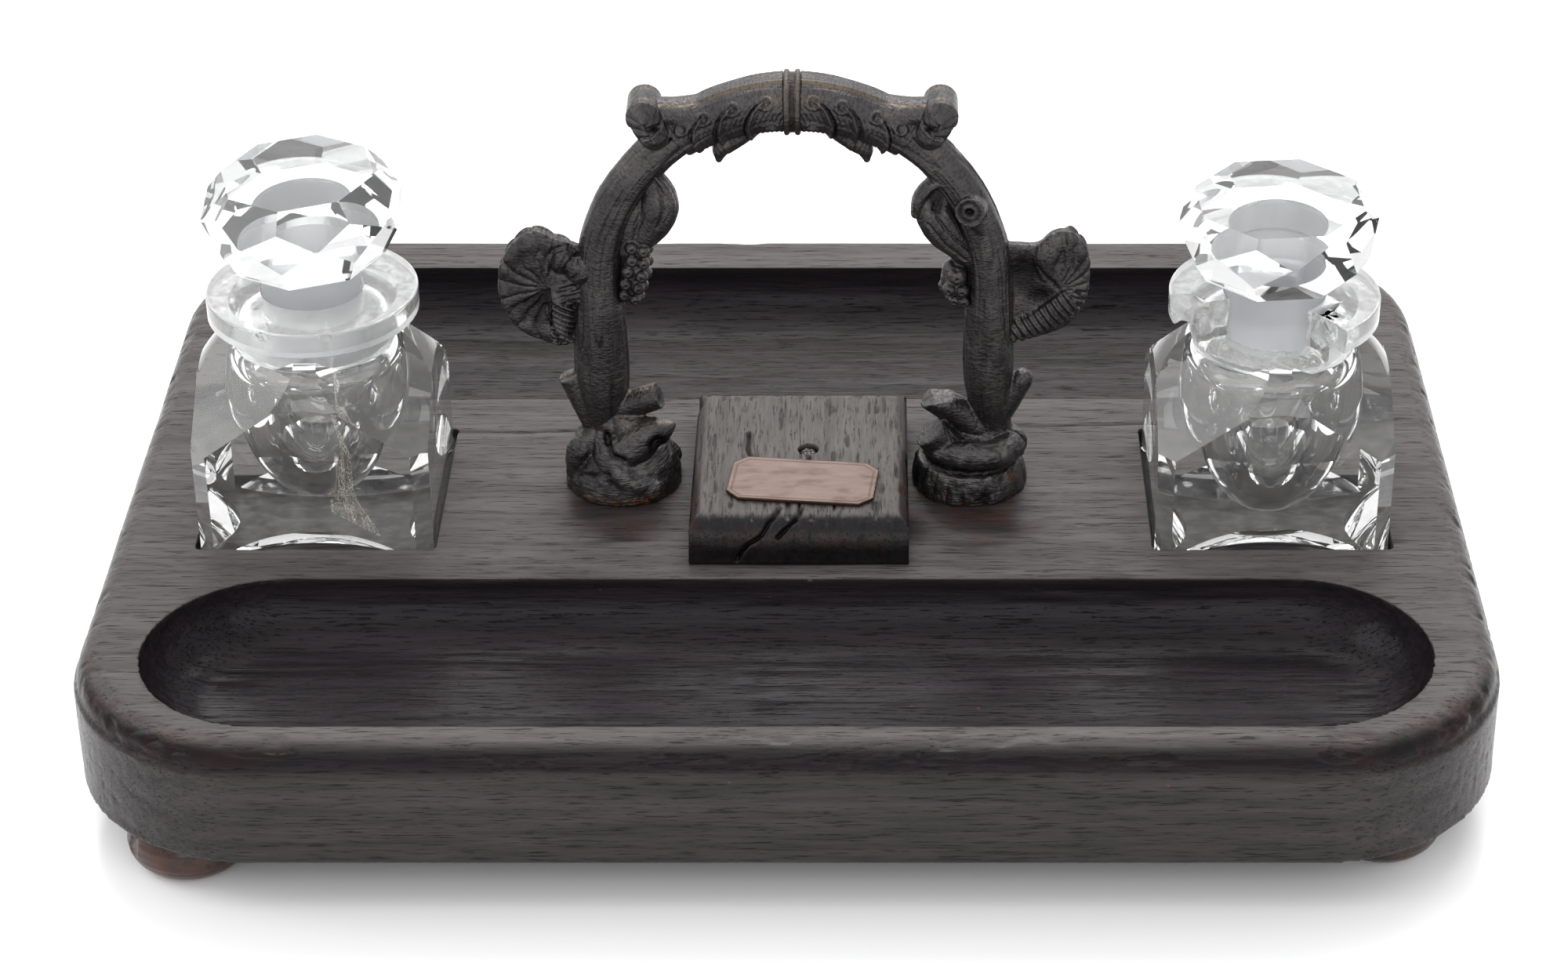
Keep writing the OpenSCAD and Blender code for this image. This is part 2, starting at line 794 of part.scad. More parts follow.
// i: 0 left, 1 right. gone: the sector that has broken away, if any
module ink_well(i, floor_t, recess, slice, chips, gone = []) {
    color(crystal) translate([well_x[i], well_y, top_z - recess]) difference() {
        union() {
            well_body(slice);
            cylinder(h = well_h, d = neck_d);
            flange();
        }
        well_cavity(floor_t);
        for (c = chips) rotate([0, 0, c[0]])
            translate([flange_d/2 + c[1], 0, well_h + c[2]]) sphere(c[3]);
        if (len(gone) > 0) broken_sector(gone[0], gone[1], gone[2]);
    }
}

// The faceted head, its widest line at zero height: a row of facets above it,
// a row below it, and upright ones between them, half a step round
module stopper_head(crown, under) {
    step = 360/head_sides;
    difference() {
        translate([0, 0, -under])
            cylinder(h = under + crown, d = head_w/cos(step/2) + past);
        for (k = [0:head_sides - 1]) {
            plane_cut(k*step, 90 - crown_slope, head_w/2*sin(crown_slope));
            plane_cut(k*step, under_slope - 90, head_w/2*sin(under_slope));
            plane_cut((k + 0.5)*step, 0, belt_w/2);
        }
    }
}

// i: 0 left, 1 right; the plug hangs into the neck and the head stands proud.
// tip and lean: how the head is cut out of true on its plug
module stopper(i, recess, plug_in, plug_out, turn, crown, under, tip, lean) {
    plug = plug_in + plug_out;
    inside = 2;
    color(crystal) translate([well_x[i], well_y, top_z - recess + well_h - plug_in]) {
        cylinder(h = plug + inside, d = bore_d - 2*plug_gap);
        translate([0, 0, plug]) rotate([tip, -lean, 0])
            translate([0, 0, under]) rotate([0, 0, turn]) stopper_head(crown, under);
    }
}

base_board();
at_foot(-1, -1) bun_foot();  // foot_front_left
at_foot(1, -1) bun_foot();  // foot_front_right
at_foot(-1, 1) bun_foot();  // foot_rear_left
at_foot(1, 1) bun_foot();  // foot_rear_right
vine_trunk(-1);  // vine_trunk_left
vine_trunk(1);  // vine_trunk_right
grip(-1);  // grip_left
grip(1);  // grip_right
grip_collar();
vine_leaf(-1);  // vine_leaf_left
vine_leaf(1);  // vine_leaf_right
grape_sprig(-1, 9);  // grape_sprig_left
grape_sprig(1, 6);  // grape_sprig_right
handle_stud(-1);  // handle_stud_left
handle_stud(1);  // handle_stud_right
handle_washer(-1);  // handle_washer_left
handle_washer(1);  // handle_washer_right
handle_nut(-1);  // handle_nut_left
handle_nut(1);  // handle_nut_right
stamp_lid();
lid_knob_plug();
lid_plate();
ink_well(0, floor_left, recess_left, slice_left, chips_left);  // ink_well_left
ink_well(1, floor_right, recess_right, slice_right, chips_right, break_right);  // ink_well_right
stopper(0, recess_left, plug_in_left, plug_out_left, turn_left, crown_left,  // stopper_left
        under_left, tip_left, lean_left);
stopper(1, recess_right, plug_in_right, plug_out_right, turn_right, crown_right,  // stopper_right
        under_right, tip_right, lean_right);
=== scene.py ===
"""Desk inkstand: the looks of every piece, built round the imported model.

Lengths in the builders are millimetres in the frame of the CAD, with the
origin on the table under the middle of the board, X to the right, Y to the
back and Z up. They become metres when a piece is made.
"""

import math

import bmesh
import bpy
import numpy as np
from mathutils import Matrix, Vector


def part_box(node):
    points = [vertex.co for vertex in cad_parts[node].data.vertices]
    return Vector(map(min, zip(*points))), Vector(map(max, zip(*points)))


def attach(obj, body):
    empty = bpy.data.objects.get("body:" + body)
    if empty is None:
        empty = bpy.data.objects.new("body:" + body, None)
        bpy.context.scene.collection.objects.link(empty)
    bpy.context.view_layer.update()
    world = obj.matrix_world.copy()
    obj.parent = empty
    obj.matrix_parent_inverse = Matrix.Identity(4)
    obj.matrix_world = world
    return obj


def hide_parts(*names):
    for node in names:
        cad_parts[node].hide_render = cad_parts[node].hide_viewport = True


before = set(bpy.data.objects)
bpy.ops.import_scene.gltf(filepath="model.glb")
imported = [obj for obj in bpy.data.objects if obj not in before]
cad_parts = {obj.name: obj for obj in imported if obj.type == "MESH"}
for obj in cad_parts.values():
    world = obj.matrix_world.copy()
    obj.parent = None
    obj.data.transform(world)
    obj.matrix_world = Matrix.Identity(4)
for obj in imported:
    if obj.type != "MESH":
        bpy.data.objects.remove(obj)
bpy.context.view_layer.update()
MM = 0.001


def corners(node):
    """Lowest and highest corner of a CAD node, in millimetres."""
    low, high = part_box(node)
    return np.array(low) / MM, np.array(high) / MM


def middle(node):
    low, high = corners(node)
    return (low + high) / 2


# Places taken from the frame
BOARD_LOW, BOARD_HIGH = corners("base_board")
TOP_Z = BOARD_HIGH[2]
COLLAR = middle("grip_collar")
HANDLE_X, HANDLE_Y = COLLAR[0], COLLAR[1]
ARCH_R = middle("handle_stud_right")[0] - HANDLE_X + 4
ARCH_Z = COLLAR[2] - TOP_Z - ARCH_R
MOUND_X = middle("handle_stud_right")[0] - HANDLE_X
LID_LOW, LID_HIGH = corners("stamp_lid")


# Noise

def hashed(cell, seed):
    """A number from 0 to 1 for each cell of whole numbers."""
    x, y, z = (cell[:, i] for i in range(3))
    h = (x * 73856093 ^ y * 19349663 ^ z * 83492791 ^ seed * 961748927) & 0xFFFFFFFF
    h = ((h ^ (h >> 15)) * 739982445) & 0xFFFFFFFF
    h = ((h ^ (h >> 12)) * 695872825) & 0xFFFFFFFF
    return ((h ^ (h >> 16)) & 0xFFFFFF) / float(0xFFFFFF)


def noise(points, size, seed=0):
    """Smooth noise from -1 to 1, with cells of one size or three."""
    p = points / np.array(size, float)
    low = np.floor(p).astype(np.int64)
    t = p - low
    t = t * t * (3 - 2 * t)
    total = np.zeros(len(points))
    for corner in range(8):
        step = np.array([corner & 1, corner >> 1 & 1, corner >> 2])
        share = np.prod(np.where(step == 1, t, 1 - t), axis=1)
        total += share * hashed(low + step, seed)
    return 2 * total - 1


def layered(points, size, octaves=3, seed=0):
    """Noise with finer and weaker layers added to it."""
    size = np.array(size, float)
    total = np.zeros(len(points))
    for i in range(octaves):
        total += noise(points, size / 2**i, seed + i) / 2**i
    return total


def ease(low, high, x):
    """0 below low, 1 above high, smooth between them."""
    t = np.clip((x - low) / (high - low), 0, 1)
    return t * t * (3 - 2 * t)


# Mesh parts: each is (points, faces) in millimetres

def merged(parts):
    points, faces, count = [], [], 0
    for p, f in parts:
        points.append(np.asarray(p, float))
        faces += [tuple(i + count for i in face) for face in f]
        count += len(p)
    return np.concatenate(points), faces


def moved(part, offset):
    return part[0] + np.array(offset, float), part[1]


def rings(loops, closed=True):
    """Joins loops of equal length into a surface, with a cap at each end."""
    n = len(loops[0])
    points = np.concatenate(loops)
    faces = []
    for i in range(len(loops) - 1):
        for j in range(n):
            k = (j + 1) % n
            a, b = i * n, (i + 1) * n
            faces.append((a + j, a + k, b + k, b + j))
    if closed:
        faces.append(tuple(range(n))[::-1])
        last = (len(loops) - 1) * n
        faces.append(tuple(last + j for j in range(n)))
    return points, faces


def tube(line, radii, sides=20, depth=1.0, caps=4):
    """A round bar along a line of points. depth flattens it along Y."""
    line = np.array(line, float)
    radii = np.broadcast_to(np.array(radii, float), len(line))
    tangent = np.gradient(line, axis=0)
    tangent /= np.linalg.norm(tangent, axis=1)[:, None]
    side = np.cross(tangent, [0, 1, 0])
    flat = np.linalg.norm(side, axis=1) < 0.2
    side[flat] = np.cross(tangent[flat], [1, 0, 0])
    side /= np.linalg.norm(side, axis=1)[:, None]
    other = np.cross(tangent, side)
    angle = np.linspace(0, 2 * math.pi, sides, endpoint=False)

    def loop(i, radius, slide):
        ring = np.outer(np.cos(angle), side[i]) + depth * np.outer(np.sin(angle), other[i])
        return line[i] + radius * ring + slide * tangent[i]

    loops = []
    bends = np.linspace(math.pi / 2 * 0.92, 0, caps + 1)[:-1]
    for a in bends:
        loops.append(loop(0, radii[0] * math.cos(a), -radii[0] * math.sin(a)))
    loops += [loop(i, radii[i], 0) for i in range(len(line))]
    for a in bends[::-1]:
        loops.append(loop(-1, radii[-1] * math.cos(a), radii[-1] * math.sin(a)))
    return rings(loops)


def cut_bar(start, end, r0, r1, sides=20):
    """A straight bar with flat ends, such as a pruned twig."""
    line = np.linspace(start, end, 5)
    return tube(line, np.linspace(r0, r1, 5), sides, caps=0)


def ball(centre, size, sides=24):
    """An egg of three half sizes."""
    loops = []
    for a in np.linspace(-math.pi / 2 * 0.97, math.pi / 2 * 0.97, sides // 2):
        b = np.linspace(0, 2 * math.pi, sides, endpoint=False)
        loops.append(np.stack([np.cos(a) * np.cos(b), np.cos(a) * np.sin(b),
                               np.full(sides, np.sin(a))], axis=1) * size + centre)
    return rings(loops)


def lathe(profile, centre, sides=64):
    """Turns a profile of (radius, height) about an upright axis."""
    b = np.linspace(0, 2 * math.pi, sides, endpoint=False)
    loops = [np.stack([r * np.cos(b), r * np.sin(b), np.full(sides, z)], axis=1) + centre
             for r, z in profile]
    return rings(loops)


# Blender meshes

def mesh_of(name, part):
    mesh = bpy.data.meshes.new(name)
    mesh.from_pydata((part[0] * MM).tolist(), [], part[1])
    mesh.update()
    return mesh


def points_of(mesh):
    co = np.empty(len(mesh.vertices) * 3, np.float32)
    mesh.vertices.foreach_get("co", co)
    return co.reshape(-1, 3).astype(float) / MM


def normals_of(mesh):
    n = np.empty(len(mesh.vertices) * 3, np.float32)
    mesh.vertex_normals.foreach_get("vector", n)
    return n.reshape(-1, 3).astype(float)


def set_points(mesh, points):
    mesh.vertices.foreach_set("co", (points * MM).astype(np.float32).ravel())
    mesh.update()


def attribute(mesh, name, values):
    """Stores a number or three for each point, for the material to read."""
    kind = "FLOAT_VECTOR" if np.ndim(values) == 2 else "FLOAT"
    layer = mesh.attributes.new(name, kind, "POINT")
    key = "vector" if kind == "FLOAT_VECTOR" else "value"
    layer.data.foreach_set(key, np.asarray(values, np.float32).ravel())


def skinned(name, mesh, voxel, smooth=0):
    """One closed skin over the parts of a mesh, with rounded meetings."""
    obj = bpy.data.objects.new(name, mesh)
    bpy.context.scene.collection.objects.link(obj)
    remesh = obj.modifiers.new("skin", "REMESH")
    remesh.mode = "VOXEL"
    remesh.voxel_size = voxel * MM
    if smooth:
        relax = obj.modifiers.new("relax", "SMOOTH")
        relax.factor = 0.5
        relax.iterations = smooth
    graph = bpy.context.evaluated_depsgraph_get()
    skin = bpy.data.meshes.new_from_object(obj.evaluated_get(graph))
    bpy.data.objects.remove(obj)
    return skin


def thinned(mesh, most):
    """Fewer triangles where the surface is plain."""
    count = 2 * len(mesh.polygons)
    if count <= most:
        return mesh
    obj = bpy.data.objects.new("thin", mesh)
    bpy.context.scene.collection.objects.link(obj)
    cut = obj.modifiers.new("fewer", "DECIMATE")
    cut.ratio = most / count
    graph = bpy.context.evaluated_depsgraph_get()
    result = bpy.data.meshes.new_from_object(obj.evaluated_get(graph))
    bpy.data.objects.remove(obj)
    return result


def piece(name, mesh, material, body, slot, *nodes):
    """A finished piece that stands for CAD nodes and rides on their body."""
    mesh.name = name
    mesh.shade_smooth()
    mesh.materials.clear()
    for m in material if isinstance(material, (list, tuple)) else [material]:
        mesh.materials.append(m)
    obj = bpy.data.objects.new(name, mesh)
    bpy.context.scene.collection.objects.link(obj)
    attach(obj, body)
    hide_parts(*nodes)
    return obj


def copy_of(node):
    """A CAD node's own mesh, as a start for a weathered one."""
    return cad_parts[node].data.copy()


# Materials

class Look:
    """A material whose nodes are made by short calls. Sizes are millimetres."""

    def __init__(self, name):
        self.material = bpy.data.materials.new(name)
        self.material.use_nodes = True
        self.tree = self.material.node_tree
        self.shader = self.tree.nodes["Principled BSDF"]
        self.place = self.add("ShaderNodeTexCoord").outputs["Object"]

    def add(self, kind, *inputs, **settings):
        node = self.tree.nodes.new(kind)
        for key, value in settings.items():
            setattr(node, key, value)
        for i, value in enumerate(inputs):
            if value is not None:
                self.put(node.inputs[i], value)
        return node

    def put(self, socket, value):
        if isinstance(value, bpy.types.NodeSocket):
            self.tree.links.new(value, socket)
        else:
            socket.default_value = value

    def sized(self, size, place=None):
        """Coordinates that grow by one over each length in size."""
        scale = [1 / (MM * s) for s in size]
        return self.add("ShaderNodeVectorMath", place or self.place, scale,
                        operation="MULTIPLY").outputs[0]

    def noise(self, size, detail=3.0, rough=0.55, bend=0.0, place=None):
        node = self.add("ShaderNodeTexNoise")
        self.put(node.inputs["Vector"], self.sized(size, place))
        for key, value in (("Scale", 1.0), ("Detail", detail), ("Roughness", rough),
                           ("Distortion", bend)):
            node.inputs[key].default_value = value
        return node.outputs["Fac"]

    def cells(self, size, place=None, feature="F1"):
        node = self.add("ShaderNodeTexVoronoi", feature=feature)
        self.put(node.inputs["Vector"], self.sized(size, place))
        node.inputs["Scale"].default_value = 1.0
        return node.outputs["Distance"]

    def ramp(self, value, *stops):
        """Maps a value through (position, grey or colour) stops."""
        node = self.add("ShaderNodeValToRGB", value)
        while len(node.color_ramp.elements) < len(stops):
            node.color_ramp.elements.new(0.5)
        for element, (position, shade) in zip(node.color_ramp.elements, stops):
            element.position = position
            rgb = [shade] * 3 if isinstance(shade, (int, float)) else list(shade)
            element.color = rgb + [1.0]
        return node.outputs["Color"]

    def math(self, operation, a, b=None, clamp=False):
        return self.add("ShaderNodeMath", a, b, operation=operation,
                        use_clamp=clamp).outputs[0]

    def mix(self, share, a, b, blend="MIX"):
        node = self.add("ShaderNodeMix", data_type="RGBA", blend_type=blend)
        for i, value in ((0, share), (6, a), (7, b)):
            if isinstance(value, (tuple, list)) and len(value) == 3:
                value = (*value, 1.0)
            self.put(node.inputs[i], value)
        return node.outputs[2]

    def read(self, name, output="Fac"):
        return self.add("ShaderNodeAttribute", attribute_name=name).outputs[output]

    def set(self, **inputs):
        for key, value in inputs.items():
            name = key.replace("_", " ")
            if isinstance(value, tuple) and len(value) == 3:
                value = (*value, 1.0)
            self.put(self.shader.inputs[name], value)

    def bump(self, *layers):
        """Layers are (height, depth in millimetres), laid over each other."""
        normal = None
        for height, depth in layers:
            node = self.add("ShaderNodeBump")
            node.inputs["Strength"].default_value = 1.0
            node.inputs["Distance"].default_value = depth * MM
            self.put(node.inputs["Height"], height)
            if normal is not None:
                self.put(node.inputs["Normal"], normal)
            normal = node.outputs["Normal"]
        self.put(self.shader.inputs["Normal"], normal)


def wood(name, grain, upright, flat, pore, sheen, cover=0.2):
    """Open-pored oak. grain holds the lengths of a streak along X, Y and Z;
    upright and flat hold the darkest and lightest tone of sides and of tops."""
    look = Look(name)
    streak = look.noise(grain, 4, 0.6)
    broad = look.noise([g * 4 for g in grain], 2)
    fine = look.noise([g * 0.3 for g in grain], 3, 0.7)
    slits = look.ramp(fine, (0.33, 0.35), (0.41, 1.0))
    level = look.math("MULTIPLY", look.math("ADD", streak, look.math("ADD", broad, fine)), 1 / 3)
    # pale picks the lighter flat tones, partly dust on dry tops and partly painted top light; the darker upright tones
    # are painted shade on sides and in trays.
    pale = look.read("pale")
    tone = look.mix(pale, look.ramp(level, (0.38, upright[0]), (0.62, upright[1])),
                    look.ramp(level, (0.38, flat[0]), (0.62, flat[1])))
    tone = look.mix(slits, pore, tone)
    worn = look.math("MULTIPLY", look.read("worn"), look.ramp(look.noise([7, 5, 5]), (0.42, 0.0), (0.62, 0.8)))
    tone = look.mix(worn, tone, (0.055, 0.018, 0.010))
    tone = look.mix(look.ramp(look.cells([11, 11, 11]), (0.018, 0.6), (0.04, 0.0)), tone, (0.12, 0.06, 0.03))
    # Near black for cracks and pores, and painted shade where a piece asks for it.
    tone = look.mix(look.read("dark_marks_and_shade"), tone, (0.002, 0.0015, 0.0015))
    dry = look.ramp(look.noise([x * 0.5 for x in grain], 3), (0.35, sheen[0]), (0.65, sheen[1]))
    rough = look.mix(pale, (0.33, 0.33, 0.33), dry)
    rough = look.mix(look.read("polish"), rough, (0.24, 0.24, 0.24))
    look.set(Base_Color=tone, Roughness=rough)
    look.shader.inputs["Specular IOR Level"].default_value = cover
    look.bump((streak, 0.14), (slits, 0.16), (look.noise([2.2, 2.0, 2.0], 4), 0.05))
    return look.material


def bronze():
    """Cast bronze, chased with short strokes across the bark and patinated."""
    look = Look("patinated_bronze")
    along = look.read("along", "Vector")
    strokes = look.noise([1.0, 0.45, 1.0], 2, 0.5, place=along)
    strips = look.noise([1.1, 16, 1.1], 2, place=along)
    grit = look.noise([0.5, 0.5, 0.5], 3, 0.7)
    tone = look.ramp(look.noise([9, 9, 9], 3), (0.32, (0.050, 0.046, 0.048)), (0.55, (0.074, 0.069, 0.070)),
                     (0.72, (0.094, 0.086, 0.082)))
    tone = look.mix(look.ramp(strokes, (0.38, 0.5), (0.50, 0.0)), tone, (0.016, 0.015, 0.015))
    tone = look.mix(look.math("MULTIPLY", look.read("hollow"), 0.85), tone, (0.009, 0.008, 0.008))
    # Brass where the patina is rubbed through, and on the left trunk a painted highlight on upward faces.
    tone = look.mix(look.math("MULTIPLY", look.read("rubbed_and_lit"), look.ramp(grit, (0.4, 0.2), (0.6, 0.9))),
                    tone, (0.26, 0.18, 0.09))
    tone = look.mix(look.math("MULTIPLY", look.read("rust"), look.ramp(look.noise([2.6, 2.6, 2.6], 3),
                    (0.48, 0.0), (0.60, 1.0))), tone, (0.11, 0.040, 0.016))
    look.set(Base_Color=tone, Roughness=look.ramp(grit, (0.3, 0.28), (0.7, 0.50)), Metallic=0.85)
    look.bump((strokes, 0.20), (strips, 0.40), (grit, 0.08))
    return look.material


def copper():
    look = Look("dull_copper")
    brushed = look.noise([9, 0.25, 1], 3)
    stain = look.noise([7, 3, 4], 4)
    tone = look.ramp(stain, (0.30, (0.09, 0.058, 0.046)), (0.48, (0.140, 0.099, 0.083)),
                     (0.75, (0.16, 0.116, 0.100)))
    tone = look.mix(look.read("dark_marks_and_shade"), tone, (0.05, 0.028, 0.02))
    look.set(Base_Color=tone, Roughness=look.ramp(brushed, (0.3, 0.40), (0.7, 0.54)), Metallic=0.75)
    look.bump((brushed, 0.03), (look.noise([0.6, 0.6, 0.6], 3), 0.03))
    return look.material


def steel():
    look = Look("turned_steel")
    rings_made = look.noise([0.8, 0.8, 0.3], 3)
    rust = look.noise([2.2, 2.2, 2.2], 4)
    tone = look.ramp(rust, (0.45, (0.34, 0.33, 0.32)), (0.62, (0.20, 0.12, 0.08)))
    look.set(Base_Color=tone, Roughness=look.ramp(rust, (0.4, 0.32), (0.65, 0.7)), Metallic=0.9)
    look.bump((rings_made, 0.03))
    return look.material


def clear_glass():
    """Polished lead glass with faint smears."""
    look = Look("clear_crystal")
    smear = look.noise([6, 6, 3], 4)
    look.set(Base_Color=(0.985, 0.992, 0.99), IOR=1.53,
             Roughness=look.ramp(smear, (0.50, 0.0), (0.75, 0.06)))
    look.shader.inputs["Transmission Weight"].default_value = 0.97
    look.bump((look.noise([11, 11, 11], 1), 0.02))
    return look.material


def ground_glass():
    """Glass ground matt, as on plugs and bores."""
    look = Look("ground_crystal")
    grain = look.noise([0.22, 0.22, 0.22], 2)
    look.set(Base_Color=(0.64, 0.655, 0.67), IOR=1.53,
             Roughness=look.ramp(look.noise([4, 4, 1.2], 3), (0.35, 0.32), (0.65, 0.5)))
    look.shader.inputs["Transmission Weight"].default_value = 0.62
    look.bump((grain, 0.02))
    return look.material


def satin_glass():
    """Worn polish on the rims of the flanges."""
    look = Look("satin_crystal")
    scuffs = look.noise([1.6, 1.6, 1.6], 4)
    look.set(Base_Color=(0.975, 0.982, 0.98), IOR=1.53,
             Roughness=look.ramp(scuffs, (0.40, 0.05), (0.62, 0.26)))
    look.shader.inputs["Transmission Weight"].default_value = 0.8
    look.bump((look.noise([2.5, 2.5, 2.5], 3), 0.03))
    return look.material


def broken_glass():
    """The rippled face of an old chip."""
    look = Look("broken_crystal")
    ripples = look.noise([0.7, 2.4, 0.7], 3, 0.5, 1.2)
    look.set(Base_Color=(0.96, 0.965, 0.955), IOR=1.53,
             Roughness=look.ramp(look.noise([2.4, 2.4, 2.4], 2), (0.42, 0.08), (0.64, 0.34)))
    look.shader.inputs["Transmission Weight"].default_value = 0.78
    look.bump((ripples, 0.004))
    return look.material


def painted_dark_base():
    """The underside of a well: ground dull, and painted dark to stand in for the oak seen through it."""
    look = Look("painted_dark_base")
    tone = look.ramp(look.noise([6, 6, 6], 4), (0.35, (0.045, 0.042, 0.040)), (0.65, (0.105, 0.098, 0.092)))
    look.set(Base_Color=tone, Roughness=look.ramp(look.noise([3, 3, 3], 3), (0.35, 0.1), (0.6, 0.3)), IOR=1.53)
    look.shader.inputs["Transmission Weight"].default_value = 0.04
    look.shader.inputs["Specular IOR Level"].default_value = 0.0
    return look.material


def crack_painted_glow():
    """Air and dirt trapped in a crack: mostly clear, with specks, a pale line and a faint painted glow."""
    look = Look("crack_painted_glow")
    specks = look.cells([0.55, 0.55, 0.55])
    cloud = look.noise([4, 4, 5], 3)
    seen = look.math("MULTIPLY", look.ramp(specks, (0.24, 1.0), (0.36, 0.0)),
                     look.ramp(cloud, (0.36, 0.1), (0.50, 0.9)))
    seen = look.math("ADD", seen, look.ramp(look.noise([1.2, 1.2, 7], 3), (0.50, 0.04), (0.66, 0.35)), True)
    warm = look.ramp(cloud, (0.3, (0.52, 0.44, 0.31)), (0.7, (0.78, 0.75, 0.68)))
    # Painted glow: the film emits its warm tone so the crack reads bright inside the glass.
    look.set(Base_Color=warm, Emission_Color=warm, Emission_Strength=0.45,
             Alpha=look.math("MULTIPLY", seen, look.read("shown")), Roughness=0.35)
    return look.material


# Each wood gets a shaded pair of upright tones and a lit pair of flat tones: painted shade and painted light, the flat
# tones partly dust.
DARK_OAK = wood("dark_oak", (26, 1.5, 1.5), [(0.006, 0.005, 0.006), (0.017, 0.013, 0.016)],
                [(0.048, 0.043, 0.041), (0.100, 0.091, 0.089)], (0.004, 0.003, 0.003), (0.40, 0.60), 0.12)
GREY_OAK = wood("grey_oak", (1.2, 20, 1.4), [(0.002, 0.0015, 0.002), (0.010, 0.008, 0.009)],
                [(0.044, 0.038, 0.035), (0.100, 0.089, 0.081)], (0.010, 0.008, 0.007), (0.45, 0.62))
FOOT_WOOD = wood("foot_wood", (5, 5, 9), [(0.005, 0.002, 0.0015), (0.060, 0.016, 0.006)],
                 [(0.006, 0.002, 0.002), (0.045, 0.014, 0.007)], (0.004, 0.002, 0.001), (0.20, 0.34), 0.5)
BRONZE, COPPER, STEEL = bronze(), copper(), steel()
CLEAR, GROUND, SATIN = clear_glass(), ground_glass(), satin_glass()
BROKEN, BASE, CRACK = broken_glass(), painted_dark_base(), crack_painted_glow()


# Wood

def to_line(points, line):
    """Distance of each point from a line through several points."""
    best = np.full(len(points), 1e9)
    line = np.array(line, float)
    for a, b in zip(line[:-1], line[1:]):
        d = b - a
        t = np.clip((points - a) @ d / (d @ d), 0, 1)
        best = np.minimum(best, np.linalg.norm(points - a - t[:, None] * d, axis=1))
    return best


def board():
    """The moulded board: worn edges, open grain and a long shake."""
    mesh = skinned("board", copy_of("base_board"), 0.6, 1)
    p, n = points_of(mesh), normals_of(mesh)
    top = p[:, 2] - TOP_Z
    half = BOARD_HIGH[:2]
    rim = np.hypot(*(np.maximum(np.abs(p[:, i]) - half[i] + 42, 0) for i in (0, 1))) - 42
    edge = ease(-9, -1, rim) * ease(-9, -1, top)
    wave = 0.30 * layered(p, (70, 26, 26), 2, 3) * ease(-14, -2, rim)
    front_edge = ease(85, 104, -p[:, 1])
    dents = ease(0.1, 0.9, layered(p, (13, 6, 5), 3, 7)) * (0.45 + 0.75 * front_edge) * edge
    grain = ease(0.25, 0.9, layered(p, (34, 1.9, 1.9), 2, 11)) * 0.16
    wobble = 0.5 * noise(p, (30, 400, 400), 5) + 0.25 * noise(p, (7, 400, 400), 6)
    shakes = np.zeros(len(p))
    for y, x0, x1 in ((14.6, -92, -24), (17.6, 27, 92)):
        gap = np.abs(p[:, 1] - y - wobble)
        ends = ease(x0 - 3, x0 + 8, p[:, 0]) * (1 - ease(x1 - 8, x1 + 3, p[:, 0]))
        shakes = np.maximum(shakes, np.exp(-(gap / 0.45) ** 2) * ends * ease(-2, -0.5, top))
    sunk = 0.12 + np.maximum(wave, -0.3) * 0.4 + dents + grain + 0.7 * shakes
    set_points(mesh, p - n * np.maximum(sunk, 0)[:, None] * ease(0.5, 2, p[:, 2] - BOARD_LOW[2])[:, None])
    ends = np.abs(p[:, 0]) - half[0]
    corner = ease(-60, -18, ends) * ease(60, 100, -p[:, 1])
    stain = np.zeros(len(p))
    for x in (HANDLE_X - MOUND_X, HANDLE_X + MOUND_X):
        spread = np.hypot((p[:, 0] - x) / 17, (p[:, 1] - HANDLE_Y + 17) / 15) + 0.3 * layered(p, (9, 4, 4), 2, 15)
        stain = np.maximum(stain, ease(1.05, 0.55, spread))
    attribute(mesh, "worn", edge * (0.12 + 0.40 * corner) + 0.5 * stain)
    # Painted shade: the shakes go near black inside, and a dark band runs along the rounded arris, strongest at the
    # front.
    arris = ease(-4, -1.5, rim) * ease(-5.5, -2, top)
    attribute(mesh, "dark_marks_and_shade", np.maximum(shakes, 0.5 * arris * (0.3 + 0.7 * front_edge)))
    tray = ease(-2, -6, top) * ease(-60, -25, ends)
    attribute(mesh, "polish", np.maximum.reduce([tray * 0.8, stain * 0.6, edge * 0.8]))
    # pale paints light and shade: up-facing tops take the lit tones (partly dust), the outer walls some painted light,
    # the front tray floor painted shade and the rear trough a third of the lit tones.
    side = 0.42 * ease(-1.6, -0.6, rim) * ease(-5, -8, top)
    attribute(mesh, "pale", side + ease(0.55, 0.95, n[:, 2]) * (0.04 + 0.96 * ease(-5, -1, top) + 0.3 * (p[:, 1] > 20) * ease(-1, -5, top)) * (1 - 0.75 * stain))
    mesh = thinned(mesh, 195000)
    return piece("board", mesh, DARK_OAK, "stand", "dark_oak", "base_board")


# Places across the lid, and down its top and front face in one
LID_CRACKS = (
    [(-4.3, 13.4), (-5.2, 16), (-7.0, 20), (-8.2, 23.5), (-11.4, 26.6), (-13.6, 30.2)],
    [(0.5, 13.4), (0.2, 16.6), (-2.4, 20.3), (-4.4, 24.4)],
    [(-12.2, -19), (-12.0, -12.5), (-11.2, -7.6)],
    [(1.7, -10), (1.9, -6.6)],
)


